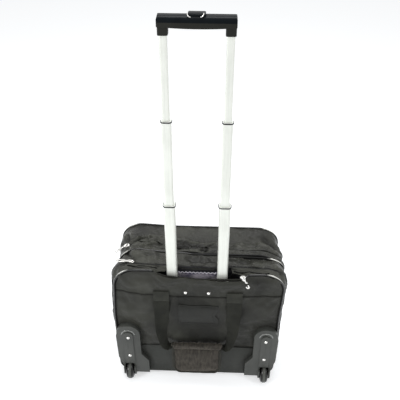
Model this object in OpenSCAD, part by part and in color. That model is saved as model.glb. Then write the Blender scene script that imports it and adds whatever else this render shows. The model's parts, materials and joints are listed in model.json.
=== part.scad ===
// Rolling laptop case: a soft three-compartment case on two wheels, with a four-stage pull handle.
// Frame: +Z up, +Y from the wheel side to the front of the case, +X to the right seen from behind.
// The origin is on the floor, below the middle of the whole object's box.

/* [Case] */
// Width of the case between the pipings of its back panel
case_w = 410; // [400:2:416]
// Height of the top of the case above the floor
case_top = 387; // [384:1:390]
// Height of the bottom of the case above the floor
case_bottom = 16; // [15:0.5:17]
// Thickness of the fabric and foam walls
wall = 3; // [2.5:0.5:3]
// Radius of the upper corners, seen from behind
corner_top = 52; // [48:1:56]

/* [Compartments] */
// Depth from the back panel to the zip of the main compartment
back_depth = 30; // [30:0.5:31]
// Depth from that zip to the middle piping
main_depth = 42; // [40:1:44]
// Depth from the middle piping to the zip of the front compartment
rim_depth = 26; // [26:1:28]
// Depth of the front compartment's opening leaf
leaf_depth = 78; // [76:1:80]
// How far the outline swells at the main zip
bulge = 10; // [8:1:10]

/* [Handle] */
// Distance between the two rails, centre to centre
rail_gap = 120; // [118:1:122]
// Top of the grip's cover above the floor, with the handle pulled out
grip_top = 987.5; // [986:0.5:990]
// Travel of the release button
button_travel = 4; // [3:0.5:4]

/* [Wheels] */
// Diameter of the wheels
wheel_d = 54; // [50:1:54]
// Width of the tyres
wheel_w = 22; // [20:1:22]
// Distance from the middle of the case to each wheel
wheel_x = 180; // [178:1:181]

/* [Hidden] */
$fn = 32;

gap = 0.3;
hair = 0.05;

// Places from the back of the case to its front
back_y = -83.2;
panel_t = 4;
zip_main_y = back_y + back_depth;
piping_y = zip_main_y + main_depth;
zip_front_y = piping_y + rim_depth;
front_y = zip_front_y + leaf_depth;

// Half widths of the outline at those places
half_back = case_w / 2 - 2;
half_zip = case_w / 2 + bulge;
half_piping = case_w / 2 + 2;
half_front = case_w / 2 - 5;
corner_bottom = 30;
leaf_bottom = 38;
leaf_t = 4;

// Rails: outer size of each tube across and front to back, from the guide up to the top stage
rail_y = back_y + 16.5;
rail_x = rail_gap / 2;
tube_t = 1.2;
guide_size = [30, 23];
low_size = [25, 19];
mid_size = [20, 14];
top_size = [15, 9];
tube_corner = 0.22;
guide_z = [34, 335];
low_z = [287, 572.5];
mid_z = [524.5, 777];
top_z = [729, 971.5];
lip_t = 4;
lip_out = 0.6;
sleeve_l = 24;
// Places of the collar dimples and of the lock hole below a tube's top end
dimples = [11, 20];
lock_drop = 31;
block_l = 27;
pin_r = 2;
pin_l = 8;

// Grip
grip_half = 70;
grip_d = 27;
leg_w = 19;
leg_bottom = grip_top - 34.5;
split_z = grip_top - 10.5;
cover_r = 9.5;
belly_z = grip_top - 21;
button_half = 15.5;
button_d = 17;
button_rise = 4;
button_z = split_z + button_travel + 0.6;
yoke_z = grip_top - 10.5;
yoke_t = 2.5;
cavity_half = 64;
cavity_d = 13;
cavity_z = belly_z + 3.2;
spring_r = 4;
spring_wire = 0.4;
spring_turns = 2;
spring_steps = 14;

// Wheels and their housings
wheel_r = wheel_d / 2;
wheel_y = back_y - 8;
axle_r = 3;
hub_r = 17;
tread_r = 5;
cheek_gap = 1;
cheek_t = 4;
plate_out = 14;
boss_out = 3;
boss_r = 12;
boss_x = wheel_x - 3.5;
housing_top_r = 30;
housing_top_z = 176;
rivet_zs = [93, 164];
rivet_r = 4.5;
shank_r = 2;
kick_top = 122;
kick_half = 160;

// Feet
foot_size = [40, 40];
foot_x = 158;
foot_y = zip_front_y - 2;
foot_h = case_bottom - 0.2;

// Carrying handles
strap_w = 38;
strap_t = 2.4;
strap_top = 326;
strap_pivot = 292;
strap_x = 87;
strap_low_x = 72;
wrap_half = 66;
wrap_z = [36, 158];
wrap_y = 16;
wrap_t = 10;

// Things on the back panel
mouth = [-99, 108];
mouth_sag = 22;
panel_rivet = [28, 319];
card_half = 48;
card_z = [212, 281];

// Zip sliders and pullers
slider_size = [13, 8.6];
puller_size = [38, 9, 1.5];
zip_y = zip_main_y + 1;
corner_z = case_top - corner_top;
front_corner_x = -(half_front - corner_top);
slider_main_x = -158;
slider_front_turn = 34;
puller_front_tilt = 12;
slider_rear_x = mouth[1];
slider_rear_z = 379;
puller_tilt = 23;
// The flap over the main compartment: its edges along the zip and along the middle piping
flap_half = half_zip - corner_top - 10;
flap_y = [zip_main_y + 6, piping_y - 2];

// ---------------------------------------------------------------- helpers

// Extrudes a shape drawn in X and Z from y0 to y1
module along_y(y0, y1) {
    translate([0, y1, 0]) rotate([90, 0, 0]) linear_extrude(y1 - y0) children();
}

// The case's outline seen from behind: half width, bottom, top, and the two corner radii
module outline(half, z0, z1, r_top, r_bottom) {
    translate([-half, z0 + r_bottom]) square([2 * half, z1 - z0 - r_top - r_bottom]);
    translate([-half + r_top, z1 - r_top]) square([2 * (half - r_top), r_top]);
    translate([-half + r_bottom, z0]) square([2 * (half - r_bottom), r_bottom]);
    for (side = [-1, 1]) {
        translate([side * (half - r_top), z1 - r_top]) circle(r_top);
        translate([side * (half - r_bottom), z0 + r_bottom]) circle(r_bottom);
    }
}

// A solid that blends from one outline at y0 to another at y1
module loft(y0, half0, y1, half1, bottom = case_bottom, inset = 0, top0 = 0, top1 = 0) {
    hull() {
        along_y(y0, y0 + 0.01)
            outline(half0 - inset, bottom + inset, case_top - inset - top0, corner_top - inset,
                corner_bottom - inset);
        along_y(y1 - 0.01, y1)
            outline(half1 - inset, bottom + inset, case_top - inset - top1, corner_top - inset,
                corner_bottom - inset);
    }
}

// A ring of fabric wall along such a solid
module ring(y0, half0, y1, half1, bottom = case_bottom, top0 = 0, top1 = 0) {
    difference() {
        loft(y0, half0, y1, half1, bottom, 0, top0, top1);
        loft(y0 - 0.02, half0, y1 + 0.02, half1, bottom, wall, top0, top1);
    }
}

// A flat bar section with round corners, centred on the rail, for tubes and what fits them
module bar_section(size, grow = 0) {
    w = size[0] + 2 * grow;
    d = size[1] + 2 * grow;
    r = size[0] * tube_corner + grow;
    square([w - 2 * r, d], center = true);
    square([w, d - 2 * r], center = true);
    for (sx = [-1, 1], sy = [-1, 1])
        translate([sx * (w / 2 - r), sy * (d / 2 - r)]) circle(r);
}

module at_rail(side) {
    translate([side * rail_x, rail_y, 0]) children();
}

// A round pin or hole along X, from x0 to x1, at a height
module cross_pin(x0, x1, z, r) {
    translate([x0, 0, z]) rotate([0, 90, 0]) cylinder(r = r, h = x1 - x0);
}

// A round pin or hole along Y, from y0 to y1
module deep_pin(x, y0, y1, z, r) {
    translate([x, y1, z]) rotate([90, 0, 0]) cylinder(r = r, h = y1 - y0, $fn = r > 100 ? 720 : 32);
}

// ---------------------------------------------------------------- pull handle

// One tube of the pull handle, with its two collar dimples and its lock hole in the inner side
module rail_tube(side, size, z, holes = true, pin_hole = true) {
    at_rail(side) difference() {
        translate([0, 0, z[0]]) linear_extrude(z[1] - z[0]) bar_section(size);
        translate([0, 0, z[0] - 1]) linear_extrude(z[1] - z[0] + 2) bar_section(size, -tube_t);
        if (holes) for (drop = dimples)
            cross_pin(-side * size[0] / 2 - 2, -side * size[0] / 2 + 2, z[1] - drop, 1.5);
        if (holes) cross_pin(-side * size[0] / 2 - 2, -side * size[0] / 2 + 2, z[1] - lock_drop, 2.5);
        if (pin_hole) cross_pin(-side * size[0] / 2 - 2, -side * size[0] / 2 + 2, z[0] + 17, pin_r + 0.2);
    }
}

// The collar on a tube's top end: a lip, and a sleeve that guides the next tube
module collar(side, size, inner, z_top) {
    at_rail(side) difference() {
        union() {
            translate([0, 0, z_top + 0.02]) linear_extrude(lip_t) bar_section(size, lip_out);
            translate([0, 0, z_top - sleeve_l]) linear_extrude(sleeve_l + 1)
                bar_section(size, -tube_t - hair);
        }
        translate([0, 0, z_top - sleeve_l - 1]) linear_extrude(sleeve_l + lip_t + 2)
            bar_section(inner, gap);
    }
}

// The plug at a tube's bottom end, which holds the sprung lock pin
module lock_block(side, size, outer, z_bottom) {
    at_rail(side) difference() {
        union() {
            translate([0, 0, z_bottom - 1]) linear_extrude(block_l + 1)
                bar_section(size, -tube_t - hair);
            translate([0, 0, z_bottom - 5]) linear_extrude(4.9)
                bar_section(outer, -tube_t - gap);
        }
        cross_pin(-size[0], size[0], z_bottom + 17, pin_r + hair);
    }
}

module lock_pin(side, size, z_bottom) {
    tip = size[0] / 2 + 1;
    color("silver") at_rail(side)
        if (side < 0) cross_pin(tip - pin_l, tip, z_bottom + 17, pin_r);
        else cross_pin(-tip, -tip + pin_l, z_bottom + 17, pin_r);
}

module guide_tubes() {
    color("gray") for (side = [-1, 1]) rail_tube(side, guide_size, guide_z, pin_hole = false);
}

module guide_collars() {
    color("dimgray") for (side = [-1, 1]) collar(side, guide_size, low_size, guide_z[1]);
}

// The blocks that hold the guide tubes against the tray, at their bottom and below their top
module rail_brackets() {
    bracket_y = rail_y - guide_size[1] / 2 + 1.5;
    bracket_d = zip_main_y + 0.95 - bracket_y;
    color("dimgray") difference() {
        union() {
            translate([-rail_x - 22, bracket_y, case_bottom + wall + 2])
                cube([2 * rail_x + 44, bracket_d, 22]);
            for (side = [-1, 1])
                translate([side * rail_x - 22, bracket_y, guide_z[1] - 40]) cube([44, bracket_d, 22]);
        }
        for (side = [-1, 1]) at_rail(side)
            translate([0, 0, guide_z[0] - 0.1]) linear_extrude(400) bar_section(guide_size, hair);
    }
}

module collars(size, inner, z_top) {
    color("dimgray") for (side = [-1, 1]) collar(side, size, inner, z_top);
}

module lock_blocks(size, outer, z_bottom) {
    color("dimgray") for (side = [-1, 1]) lock_block(side, size, outer, z_bottom);
}

// The grip's section seen from the end, from z0 to z1, with its upper corners rounded
module grip_section(z0, z1, r) {
    translate([-grip_d / 2, z0]) square([grip_d, z1 - z0 - r]);
    translate([-grip_d / 2 + r, z0]) square([grip_d - 2 * r, z1 - z0]);
    intersection() {
        translate([-grip_d / 2, z0]) square([grip_d, z1 - z0]);
        for (side = [-1, 1]) translate([side * (grip_d / 2 - r), z1 - r]) circle(r);
    }
}

module along_x(x0, x1) {
    translate([x0, rail_y, 0]) rotate([90, 0, 90]) linear_extrude(x1 - x0) children();
}

module grip_cavity() {
    translate([-cavity_half, rail_y - cavity_d / 2, cavity_z])
        cube([2 * cavity_half, cavity_d, yoke_z + yoke_t + 2 - cavity_z]);
}

module grip_cover() {
    color([0.09, 0.11, 0.13]) difference() {
        along_x(-grip_half, grip_half) grip_section(split_z + hair, grip_top, cover_r);
        grip_cavity();
        translate([-button_half - gap, rail_y - button_d / 2 - gap, split_z])
            cube([2 * (button_half + gap), button_d + 2 * gap, 40]);
        for (side = [-1, 1]) deep_pin(side * (grip_half + 30), rail_y - 40, rail_y + 40,
            grip_top + 6, 32);
    }
}

// The lower grip: a bar with a belly below, and a leg over each rail
module grip_body() {
    belly_r = 860;
    color([0.2, 0.2, 0.18]) difference() {
        union() {
            intersection() {
                translate([-grip_half, rail_y - grip_d / 2, belly_z])
                    cube([2 * grip_half, grip_d, split_z - belly_z]);
                deep_pin(0, rail_y - grip_d, rail_y + grip_d, belly_z + belly_r, belly_r);
            }
            for (side = [-1, 1]) at_rail(side) translate([0, 0, leg_bottom])
                linear_extrude(split_z - leg_bottom) bar_section([leg_w, 21]);
        }
        grip_cavity();
        for (side = [-1, 1]) at_rail(side) translate([0, 0, leg_bottom - 1])
            linear_extrude(top_z[1] - leg_bottom + 1.1) bar_section(top_size, hair);
    }
}

module grip_button() {
    color([0.08, 0.1, 0.12]) translate([0, rail_y, 0]) {
        translate([-button_half, -button_d / 2, button_z])
            cube([2 * button_half, button_d, grip_top + button_rise - 1 - button_z]);
        translate([-button_half + 1, -button_d / 2 + 1, grip_top + button_rise - 1])
            cube([2 * button_half - 2, button_d - 2, 1]);
        translate([-6, -5, yoke_z + yoke_t]) cube([12, 10, button_z - yoke_z - yoke_t + 0.01]);
    }
}

// The bar under the button and the two rods that reach down to the lock pins
module release_yoke() {
    color("silver") union() {
        translate([-rail_x - 2.5, rail_y - 3, yoke_z]) cube([2 * rail_x + 5, 6, yoke_t]);
        for (side = [-1, 1]) at_rail(side) translate([0, 0, top_z[0] + block_l + button_travel + 3])
            cylinder(r = 1.5, h = yoke_z - top_z[0] - block_l - button_travel - 1);
    }
}

// The button's return spring: a round wire swept along a helix
module button_spring() {
    sides = 6;
    z0 = cavity_z + spring_wire + 0.1;
    rise = yoke_z - spring_wire - 0.1 - z0;
    last = spring_steps * spring_turns;
    function at(i, k) = let (
        turn = 360 * i / spring_steps, around = 360 * k / sides,
        r = spring_r + spring_wire * cos(around))
        [r * cos(turn), r * sin(turn), z0 + rise * i / last + spring_wire * sin(around)];
    color("silver") translate([0, rail_y, 0]) polyhedron(
        points = [for (i = [0:last], k = [0:sides - 1]) at(i, k)],
        faces = concat(
            [[for (k = [0:sides - 1]) k]],
            [[for (k = [sides - 1:-1:0]) last * sides + k]],
            [for (i = [0:last - 1], k = [0:sides - 1])
                [i * sides + k, (i + 1) * sides + k,
                    (i + 1) * sides + (k + 1) % sides, i * sides + (k + 1) % sides]]));
}

// ---------------------------------------------------------------- wheels

// The housing's outline on the right side of the case, seen from behind
module housing_outline(grow = 0) {
    in_x = boss_x - housing_top_r - grow;
    out_x = boss_x + housing_top_r + grow;
    translate([boss_x, housing_top_z]) circle(housing_top_r + grow);
    polygon([[in_x, housing_top_z], [in_x, 96 + grow], [128 - grow, 70 + grow], [128 - grow, 20],
        [wheel_x + 17, 20], [wheel_x + 17, 48], [out_x - 4, 66], [out_x + 1, 84],
        [out_x + 2, 168], [out_x, housing_top_z]]);
}

// The block inside the corner of the case that the wheel well is cut from
module well_block(grow = 0) {
    half = wheel_w / 2 + cheek_gap + cheek_t + grow;
    translate([wheel_x - half, back_y - plate_out - grow, 20])
        cube([2 * half, plate_out + back_depth - 1 + 2 * grow, 46 + grow]);
}

// What wraps round the side of the case, level with the plate
module side_wrap(grow = 0) {
    translate([half_back - 1 - grow, back_y - plate_out + 3, 84 - grow])
        cube([4 + 2 * grow, plate_out + 22 + grow, 84 + 2 * grow]);
}

module housing_room() {
    half = wheel_w / 2 + cheek_gap + cheek_t + gap;
    for (side = [0, 1]) mirror([side, 0, 0]) {
        translate([wheel_x - half, back_y - plate_out, 0])
            cube([2 * half, plate_out + back_depth - 1 + gap, 66 + gap]);
        side_wrap(gap);
    }
}

module wheel_housing_right() {
    cheek = wheel_w / 2 + cheek_gap;
    difference() {
        union() {
            along_y(back_y - plate_out, back_y - 0.2) housing_outline();
            well_block();
            side_wrap();
            along_y(back_y - plate_out - boss_out, back_y - plate_out + 1) {
                translate([boss_x, housing_top_z - 4]) circle(boss_r);
                translate([boss_x - boss_r, 62]) square([2 * boss_r, housing_top_z - 66]);
            }
            for (side = [-1, 1]) translate([wheel_x + side * (cheek + cheek_t / 2), wheel_y, 0]) {
                cross_pin(-cheek_t / 2, cheek_t / 2, wheel_r, 15);
                translate([-cheek_t / 2, -15, wheel_r]) cube([cheek_t, 30, 22]);
            }
        }
        translate([wheel_x - cheek, 0, 0]) {
            translate([0, wheel_y, 0]) cross_pin(0, 2 * cheek, wheel_r, wheel_r + 3);
            translate([0, wheel_y - wheel_r - 3, -1]) cube([2 * cheek, 2 * wheel_r + 6, wheel_r + 1]);
        }
        translate([0, wheel_y, 0]) cross_pin(wheel_x - 30, wheel_x + 30, wheel_r, axle_r + hair);
        for (end = [-1, 1]) translate([wheel_x + end * (cheek + cheek_t + 1), wheel_y, 0])
            cross_pin(-1, 1, wheel_r, 5);
        for (z = rivet_zs) deep_pin(boss_x, back_y - 40, back_y + 1, z, shank_r + hair);
    }
}

module axles() {
    reach = wheel_w / 2 + cheek_gap + cheek_t;
    color("silver") for (side = [-1, 1]) translate([side * wheel_x, wheel_y, 0]) {
        cross_pin(-reach, reach, wheel_r, axle_r);
        cross_pin(reach, reach + 1.5, wheel_r, 4.5);
        cross_pin(-reach - 1.5, -reach, wheel_r, 4.5);
    }
}

module tyre(side) {
    half = wheel_w / 2;
    color([0.06, 0.06, 0.06]) translate([side * wheel_x, wheel_y, wheel_r]) rotate([0, 90, 0])
        rotate_extrude($fn = 64) {
            translate([hub_r, -half]) square([wheel_r - hub_r - tread_r, wheel_w]);
            translate([hub_r, -half + tread_r]) square([wheel_r - hub_r, wheel_w - 2 * tread_r]);
            for (end = [-1, 1]) translate([wheel_r - tread_r, end * (half - tread_r)]) circle(tread_r);
        }
}

module hub(side) {
    half = wheel_w / 2;
    color([0.16, 0.16, 0.17]) translate([side * wheel_x, wheel_y, wheel_r]) rotate([0, 90, 0])
        rotate_extrude($fn = 64) {
            translate([axle_r + hair, -half + 6]) square([hub_r - axle_r - 2 * hair, wheel_w - 12]);
            translate([axle_r + hair, -half - 0.5]) square([4, wheel_w + 1]);
            translate([hub_r - 3, -half + 1]) square([3 - hair, wheel_w - 2]);
        }
}

// ---------------------------------------------------------------- case

// The webbing that stays sewn flat to a panel above each handle strap
module strap_tabs(y0) {
    for (side = [-1, 1])
        translate([side * strap_x - strap_w / 2, y0, strap_pivot + 1])
            cube([strap_w, strap_t, strap_top - strap_pivot - 1]);
}

module back_panel() {
    sag_r = (pow((mouth[1] - mouth[0]) / 2, 2) + mouth_sag * mouth_sag) / (2 * mouth_sag);
    color([0.22, 0.22, 0.2]) difference() {
        union() {
            along_y(back_y, back_y + panel_t)
                outline(half_back, case_bottom, case_top, corner_top, corner_bottom);
            strap_tabs(back_y - strap_t);
        }
        deep_pin((mouth[0] + mouth[1]) / 2, back_y - 5, back_y + panel_t + 1,
            case_top - 2 - mouth_sag + sag_r, sag_r);
        housing_room();
        for (side = [-1, 1])
            deep_pin(side * panel_rivet[0], back_y - 5, back_y + 10, panel_rivet[1], shank_r + hair);
        for (side = [-1, 1], z = rivet_zs)
            deep_pin(side * boss_x, back_y - 5, back_y + 10, z, shank_r + hair);
    }
}

module back_gusset() {
    slot_half = (mouth[1] - mouth[0]) / 2;
    color([0.2, 0.2, 0.18]) difference() {
        ring(back_y + panel_t + 0.1, half_back, zip_main_y - 0.2, half_zip);
        translate([mouth[0], back_y, case_top - 2 * wall])
            cube([2 * slot_half, back_depth - 3, 20]);
        housing_room();
    }
}

module main_gusset() {
    color([0.22, 0.22, 0.2]) difference() {
        union() {
            ring(zip_main_y, half_zip, piping_y, half_piping);
            ring(piping_y, half_piping, zip_front_y, half_front);
            along_y(zip_front_y - wall, zip_front_y)
                intersection() {
                    outline(half_front - 1, case_bottom + 1, case_top, corner_top, corner_bottom);
                    translate([-half_front, case_bottom]) square([2 * half_front, leaf_bottom + wall - case_bottom]);
                }
        }
        translate([-flap_half - gap, flap_y[0] - gap, case_top - 4 * wall])
            cube([2 * (flap_half + gap), flap_y[1] - flap_y[0] + 2 * gap, 30]);
        for (side = [-1, 1], dx = [-10, 10]) translate([side * foot_x + dx, foot_y - 10, 0])
            cylinder(r = shank_r + hair, h = 40);
    }
}

module main_flap() {
    color([0.24, 0.24, 0.22]) translate([-flap_half, flap_y[0], case_top - wall])
        cube([2 * flap_half, flap_y[1] - flap_y[0], wall]);
}

module main_divider() {
    inset = wall + 0.8;
    color([0.16, 0.16, 0.16]) along_y(piping_y - 1, piping_y + 1.5)
        outline(half_front - inset, case_bottom + inset, case_top - inset, corner_top - inset,
            corner_bottom - inset);
}

// The stiff moulded tray that carries the rails, the wheels and the feet
module frame_tray() {
    tray_y = zip_main_y + 1;
    low = case_bottom + wall + 0.3;
    color([0.12, 0.12, 0.12]) union() {
            along_y(tray_y, tray_y + 2.5) outline(190, low, case_top - 16, 40, 28);
            translate([-172, tray_y, low]) cube([344, piping_y - 1.5 - tray_y, 2.5]);
    }
}

module kick_plate() {
    color([0.25, 0.26, 0.25]) difference() {
        union() {
            along_y(back_y - 3, back_y - 0.2) translate([-kick_half, case_bottom - 3])
                square([2 * kick_half, kick_top - case_bottom + 3]);
            translate([-140, back_y - 3, case_bottom - 3]) cube([280, 43, 2.8]);
        }
        for (side = [0, 1]) mirror([side, 0, 0]) along_y(back_y - 20, back_y + 1)
            housing_outline(gap);
    }
}

module front_gusset() {
    color([0.2, 0.2, 0.18])
        ring(zip_front_y + 0.5, half_front, front_y - leaf_t, half_front - 3, leaf_bottom, 0, 4);
}

module front_panel() {
    color([0.22, 0.22, 0.2]) union() {
        hull() {
            along_y(front_y - leaf_t + 0.05, front_y - leaf_t + 1)
                outline(half_front - 3, leaf_bottom, case_top - 4, corner_top, corner_bottom);
            along_y(front_y - 0.5, front_y)
                outline(half_front - 8, leaf_bottom + 5, case_top - 9, corner_top - 5,
                    corner_bottom - 5);
        }
        strap_tabs(front_y - 0.1);
    }
}

module card_pocket() {
    mid_z = (card_z[0] + card_z[1]) / 2;
    color([0.17, 0.17, 0.17]) along_y(back_y - 1.7, back_y - 0.1)
        polygon([[-card_half, card_z[0]], [card_half, card_z[0]], [card_half - 5, mid_z - 1],
            [card_half + 2, card_z[1]], [-card_half + 2, card_z[1]]]);
}

module pocket_lining() {
    color([0.32, 0.28, 0.4]) difference() {
        translate([-150, zip_main_y - 1.15, 60]) cube([300, 0.8, case_top - 68]);
        for (side = [-1, 1])
            translate([side * rail_x - 23, zip_main_y - 5, guide_z[1] - 41]) cube([46, 10, 24]);
    }
}

module laptop_pad() {
    color([0.14, 0.14, 0.15]) along_y(zip_main_y + 4, zip_main_y + 9)
        outline(175, case_bottom + 8, case_top - 45, 30, 10);
}

module foot(side) {
    color([0.1, 0.1, 0.1]) translate([side * foot_x, foot_y, 0]) difference() {
        linear_extrude(foot_h) {
            square([foot_size[0] - 12, foot_size[1]], center = true);
            square([foot_size[0], foot_size[1] - 12], center = true);
            for (sx = [-1, 1], sy = [-1, 1])
                translate([sx * (foot_size[0] / 2 - 6), sy * (foot_size[1] / 2 - 6)]) circle(6);
        }
        for (dx = [-10, 10]) translate([dx, -10, 4]) cylinder(r = shank_r + hair, h = 40);
    }
}

module foot_screws() {
    seat = case_bottom + wall + hair;
    color("silver") for (side = [-1, 1], dx = [-10, 10])
        translate([side * foot_x + dx, foot_y - 10, 0]) {
            translate([0, 0, 5]) cylinder(r = shank_r, h = seat - 5);
            translate([0, 0, seat]) cylinder(r = 4, h = 2);
        }
}

// A domed rivet that points back, its head's flat side at y
module rivet(x, y, z, l) {
    translate([x, y, z]) rotate([90, 0, 0]) {
        intersection() {
            translate([0, 0, rivet_r * 0.6 - rivet_r * 1.1]) sphere(rivet_r * 1.1);
            cylinder(r = rivet_r, h = 5);
        }
        translate([0, 0, -l]) cylinder(r = shank_r, h = l + 0.5);
    }
}

module rivets() {
    color("silver") for (side = [-1, 1]) {
        for (z = rivet_zs) rivet(side * boss_x, back_y - plate_out - boss_out - hair, z, 20);
        rivet(side * panel_rivet[0], back_y - hair, panel_rivet[1], panel_t + 1.5);
    }
}

// ---------------------------------------------------------------- carrying handles

// A carrying handle's two straps, hanging down a panel; out points away from the panel
module handle_straps(y0, out) {
    back_off = out < 0 ? strap_t : 0;
    color([0.16, 0.16, 0.14]) for (side = [-1, 1]) hull() {
        translate([side * strap_x - strap_w / 2, y0 + out * 0.4 - back_off, strap_pivot - 1])
            cube([strap_w, strap_t, 0.5]);
        translate([side * strap_low_x - strap_w / 2 + 3, y0 + out * (wrap_y - 1) - back_off, wrap_z[1] + hair])
            cube([strap_w - 6, strap_t, 0.5]);
    }
}

// The padded wrap on the loop's lower end
module handle_wrap(y0, out) {
    y_in = y0 + out * (wrap_y - 3);
    y_out = y0 + out * (wrap_y + wrap_t - 3);
    color([0.2, 0.18, 0.16]) {
        along_y(min(y_in, y_out), max(y_in, y_out)) translate([-wrap_half, 134])
            square([2 * wrap_half, wrap_z[1] - 134]);
        along_y(min(y_in + out * 2, y_out - out * 3), max(y_in + out * 2, y_out - out * 3)) {
            translate([-wrap_half, wrap_z[0] + 20]) square([2 * wrap_half, 134 - wrap_z[0] - 19.9]);
            translate([-wrap_half + 20, wrap_z[0]]) square([2 * wrap_half - 40, 21]);
            for (side = [-1, 1]) translate([side * (wrap_half - 20), wrap_z[0] + 20]) circle(20);
        }
    }
}

// ---------------------------------------------------------------- zips

// A slider lying on a surface at z = 0, running along X, with its bridge turned to its puller
module slider(turn = 0) {
    w = slider_size[0];
    d = slider_size[1];
    color("silver") {
        linear_extrude(2.2) {
            translate([-w / 2 + 2.5, -d / 2]) square([w - 5, d]);
            translate([-w / 2, -d / 2 + 2]) square([w, d - 4]);
        }
        rotate([0, 0, turn]) difference() {
            translate([-4.5, -1.2, 2]) cube([9, 2.4, 3.8]);
            translate([-2.8, -2, 2.2]) cube([5.6, 4, 2.7]);
        }
    }
}

// A puller that leaves its slider along -X; its ring's bar lies in the slider's bridge
module puller() {
    l = puller_size[0];
    d = puller_size[1];
    color("silver") translate([0, 0, 2.8]) linear_extrude(puller_size[2]) difference() {
        union() {
            translate([-l, -d / 2 + 2]) square([l, d - 4]);
            translate([-l + 2, -d / 2]) square([l - 18, d]);
            translate([-9, -d / 2 + 0.7]) square([11, d - 1.4]);
        }
        translate([-6.5, -1.9]) square([7, 3.8]);
        translate([-l + 5, -1.5]) square([9, 3]);
    }
}

module at_slider_main() {
    translate([slider_main_x, zip_y, case_top + 0.3]) children();
}

module at_slider_front() {
    translate([front_corner_x, zip_front_y, corner_z]) rotate([0, -slider_front_turn, 0])
        translate([0, 0, corner_top + 1.3]) children();
}

module at_slider_rear() {
    translate([slider_rear_x, back_y - 0.6, slider_rear_z]) rotate([90, 0, 0]) children();
}

// ---------------------------------------------------------------- nodes

back_panel();
back_gusset();
main_gusset();
main_divider();
frame_tray();
kick_plate();
color([0.28, 0.28, 0.27]) mirror([1, 0, 0]) wheel_housing_right();  // wheel_housing_left
color([0.28, 0.28, 0.27]) wheel_housing_right();
axles();
guide_tubes();
guide_collars();
rail_brackets();
foot(-1);  // foot_left
foot(1);  // foot_right
foot_screws();
rivets();
card_pocket();
pocket_lining();
laptop_pad();
main_flap();
front_gusset();
front_panel();
color("gainsboro") rail_tube(-1, low_size, low_z);  // rail_low_left
color("gainsboro") rail_tube(1, low_size, low_z);  // rail_low_right
collars(low_size, mid_size, low_z[1]);  // collars_low
lock_blocks(low_size, guide_size, low_z[0]);  // lock_blocks_low
color("gainsboro") rail_tube(-1, mid_size, mid_z);  // rail_mid_left
color("gainsboro") rail_tube(1, mid_size, mid_z);  // rail_mid_right
collars(mid_size, top_size, mid_z[1]);  // collars_mid
lock_blocks(mid_size, low_size, mid_z[0]);  // lock_blocks_mid
color("gainsboro") rail_tube(-1, top_size, top_z, holes = false);  // rail_top_left
color("gainsboro") rail_tube(1, top_size, top_z, holes = false);  // rail_top_right
lock_blocks(top_size, mid_size, top_z[0]);  // lock_blocks_top
grip_body();
grip_cover();
grip_button();
release_yoke();
button_spring();
lock_pin(-1, top_size, top_z[0]);  // lock_pin_top_left
lock_pin(1, top_size, top_z[0]);  // lock_pin_top_right
lock_pin(-1, mid_size, mid_z[0]);  // lock_pin_mid_left
lock_pin(1, mid_size, mid_z[0]);  // lock_pin_mid_right
lock_pin(-1, low_size, low_z[0]);  // lock_pin_low_left
lock_pin(1, low_size, low_z[0]);  // lock_pin_low_right
tyre(-1);  // tyre_left
hub(-1);  // hub_left
tyre(1);  // tyre_right
hub(1);  // hub_right
handle_straps(back_y - strap_t, -1);  // rear_handle_straps
handle_wrap(back_y - strap_t, -1);  // rear_handle_wrap
handle_straps(front_y + strap_t, 1);  // front_handle_straps
handle_wrap(front_y + strap_t, 1);  // front_handle_wrap
at_slider_rear() slider(90 + puller_tilt);  // slider_rear
at_slider_rear() rotate([0, 0, 90 + puller_tilt]) puller();  // puller_rear
at_slider_main() slider();  // slider_main
at_slider_main() puller();  // puller_main
at_slider_front() slider(puller_front_tilt);  // slider_front
at_slider_front() rotate([0, 0, puller_front_tilt]) puller();  // puller_front
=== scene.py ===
import json
from math import ceil, copysign, cos, exp, hypot, pi, radians, sin, sqrt, tau

import bpy
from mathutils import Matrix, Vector, noise
from mathutils.bvhtree import BVHTree

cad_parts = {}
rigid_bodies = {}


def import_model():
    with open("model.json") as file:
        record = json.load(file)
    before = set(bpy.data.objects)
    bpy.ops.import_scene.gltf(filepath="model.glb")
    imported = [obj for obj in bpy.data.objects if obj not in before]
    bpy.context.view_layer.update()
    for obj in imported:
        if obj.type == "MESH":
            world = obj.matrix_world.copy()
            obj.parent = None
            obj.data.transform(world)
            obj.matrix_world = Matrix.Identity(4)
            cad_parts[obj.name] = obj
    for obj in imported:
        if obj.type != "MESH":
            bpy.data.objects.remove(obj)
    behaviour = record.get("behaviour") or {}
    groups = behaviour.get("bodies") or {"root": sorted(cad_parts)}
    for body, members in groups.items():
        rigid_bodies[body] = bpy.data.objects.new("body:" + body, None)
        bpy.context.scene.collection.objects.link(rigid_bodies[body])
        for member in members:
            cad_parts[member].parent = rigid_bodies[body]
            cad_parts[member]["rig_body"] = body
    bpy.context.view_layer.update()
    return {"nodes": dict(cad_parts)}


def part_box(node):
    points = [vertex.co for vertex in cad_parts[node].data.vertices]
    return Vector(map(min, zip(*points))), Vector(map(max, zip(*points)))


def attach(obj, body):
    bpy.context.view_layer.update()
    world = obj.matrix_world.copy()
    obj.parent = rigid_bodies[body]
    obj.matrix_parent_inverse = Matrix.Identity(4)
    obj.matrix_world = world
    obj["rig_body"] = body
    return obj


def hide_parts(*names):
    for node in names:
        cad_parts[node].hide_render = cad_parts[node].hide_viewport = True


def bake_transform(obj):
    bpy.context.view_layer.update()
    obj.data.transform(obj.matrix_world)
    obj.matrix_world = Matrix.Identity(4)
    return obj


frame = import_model()
nodes = frame["nodes"]

# ------------------------------------------------------------------ camera

CAMERA_PLACE = (0.0408, -1.0152, 1.3090)
CAMERA_PITCH = radians(37.166)
CAMERA_LEAN = -0.0021
CAMERA_YAW = 0.0381
LENS = 50.0
SENSOR = 36.0
PHOTO_W, PHOTO_H = 400, 400

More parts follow.
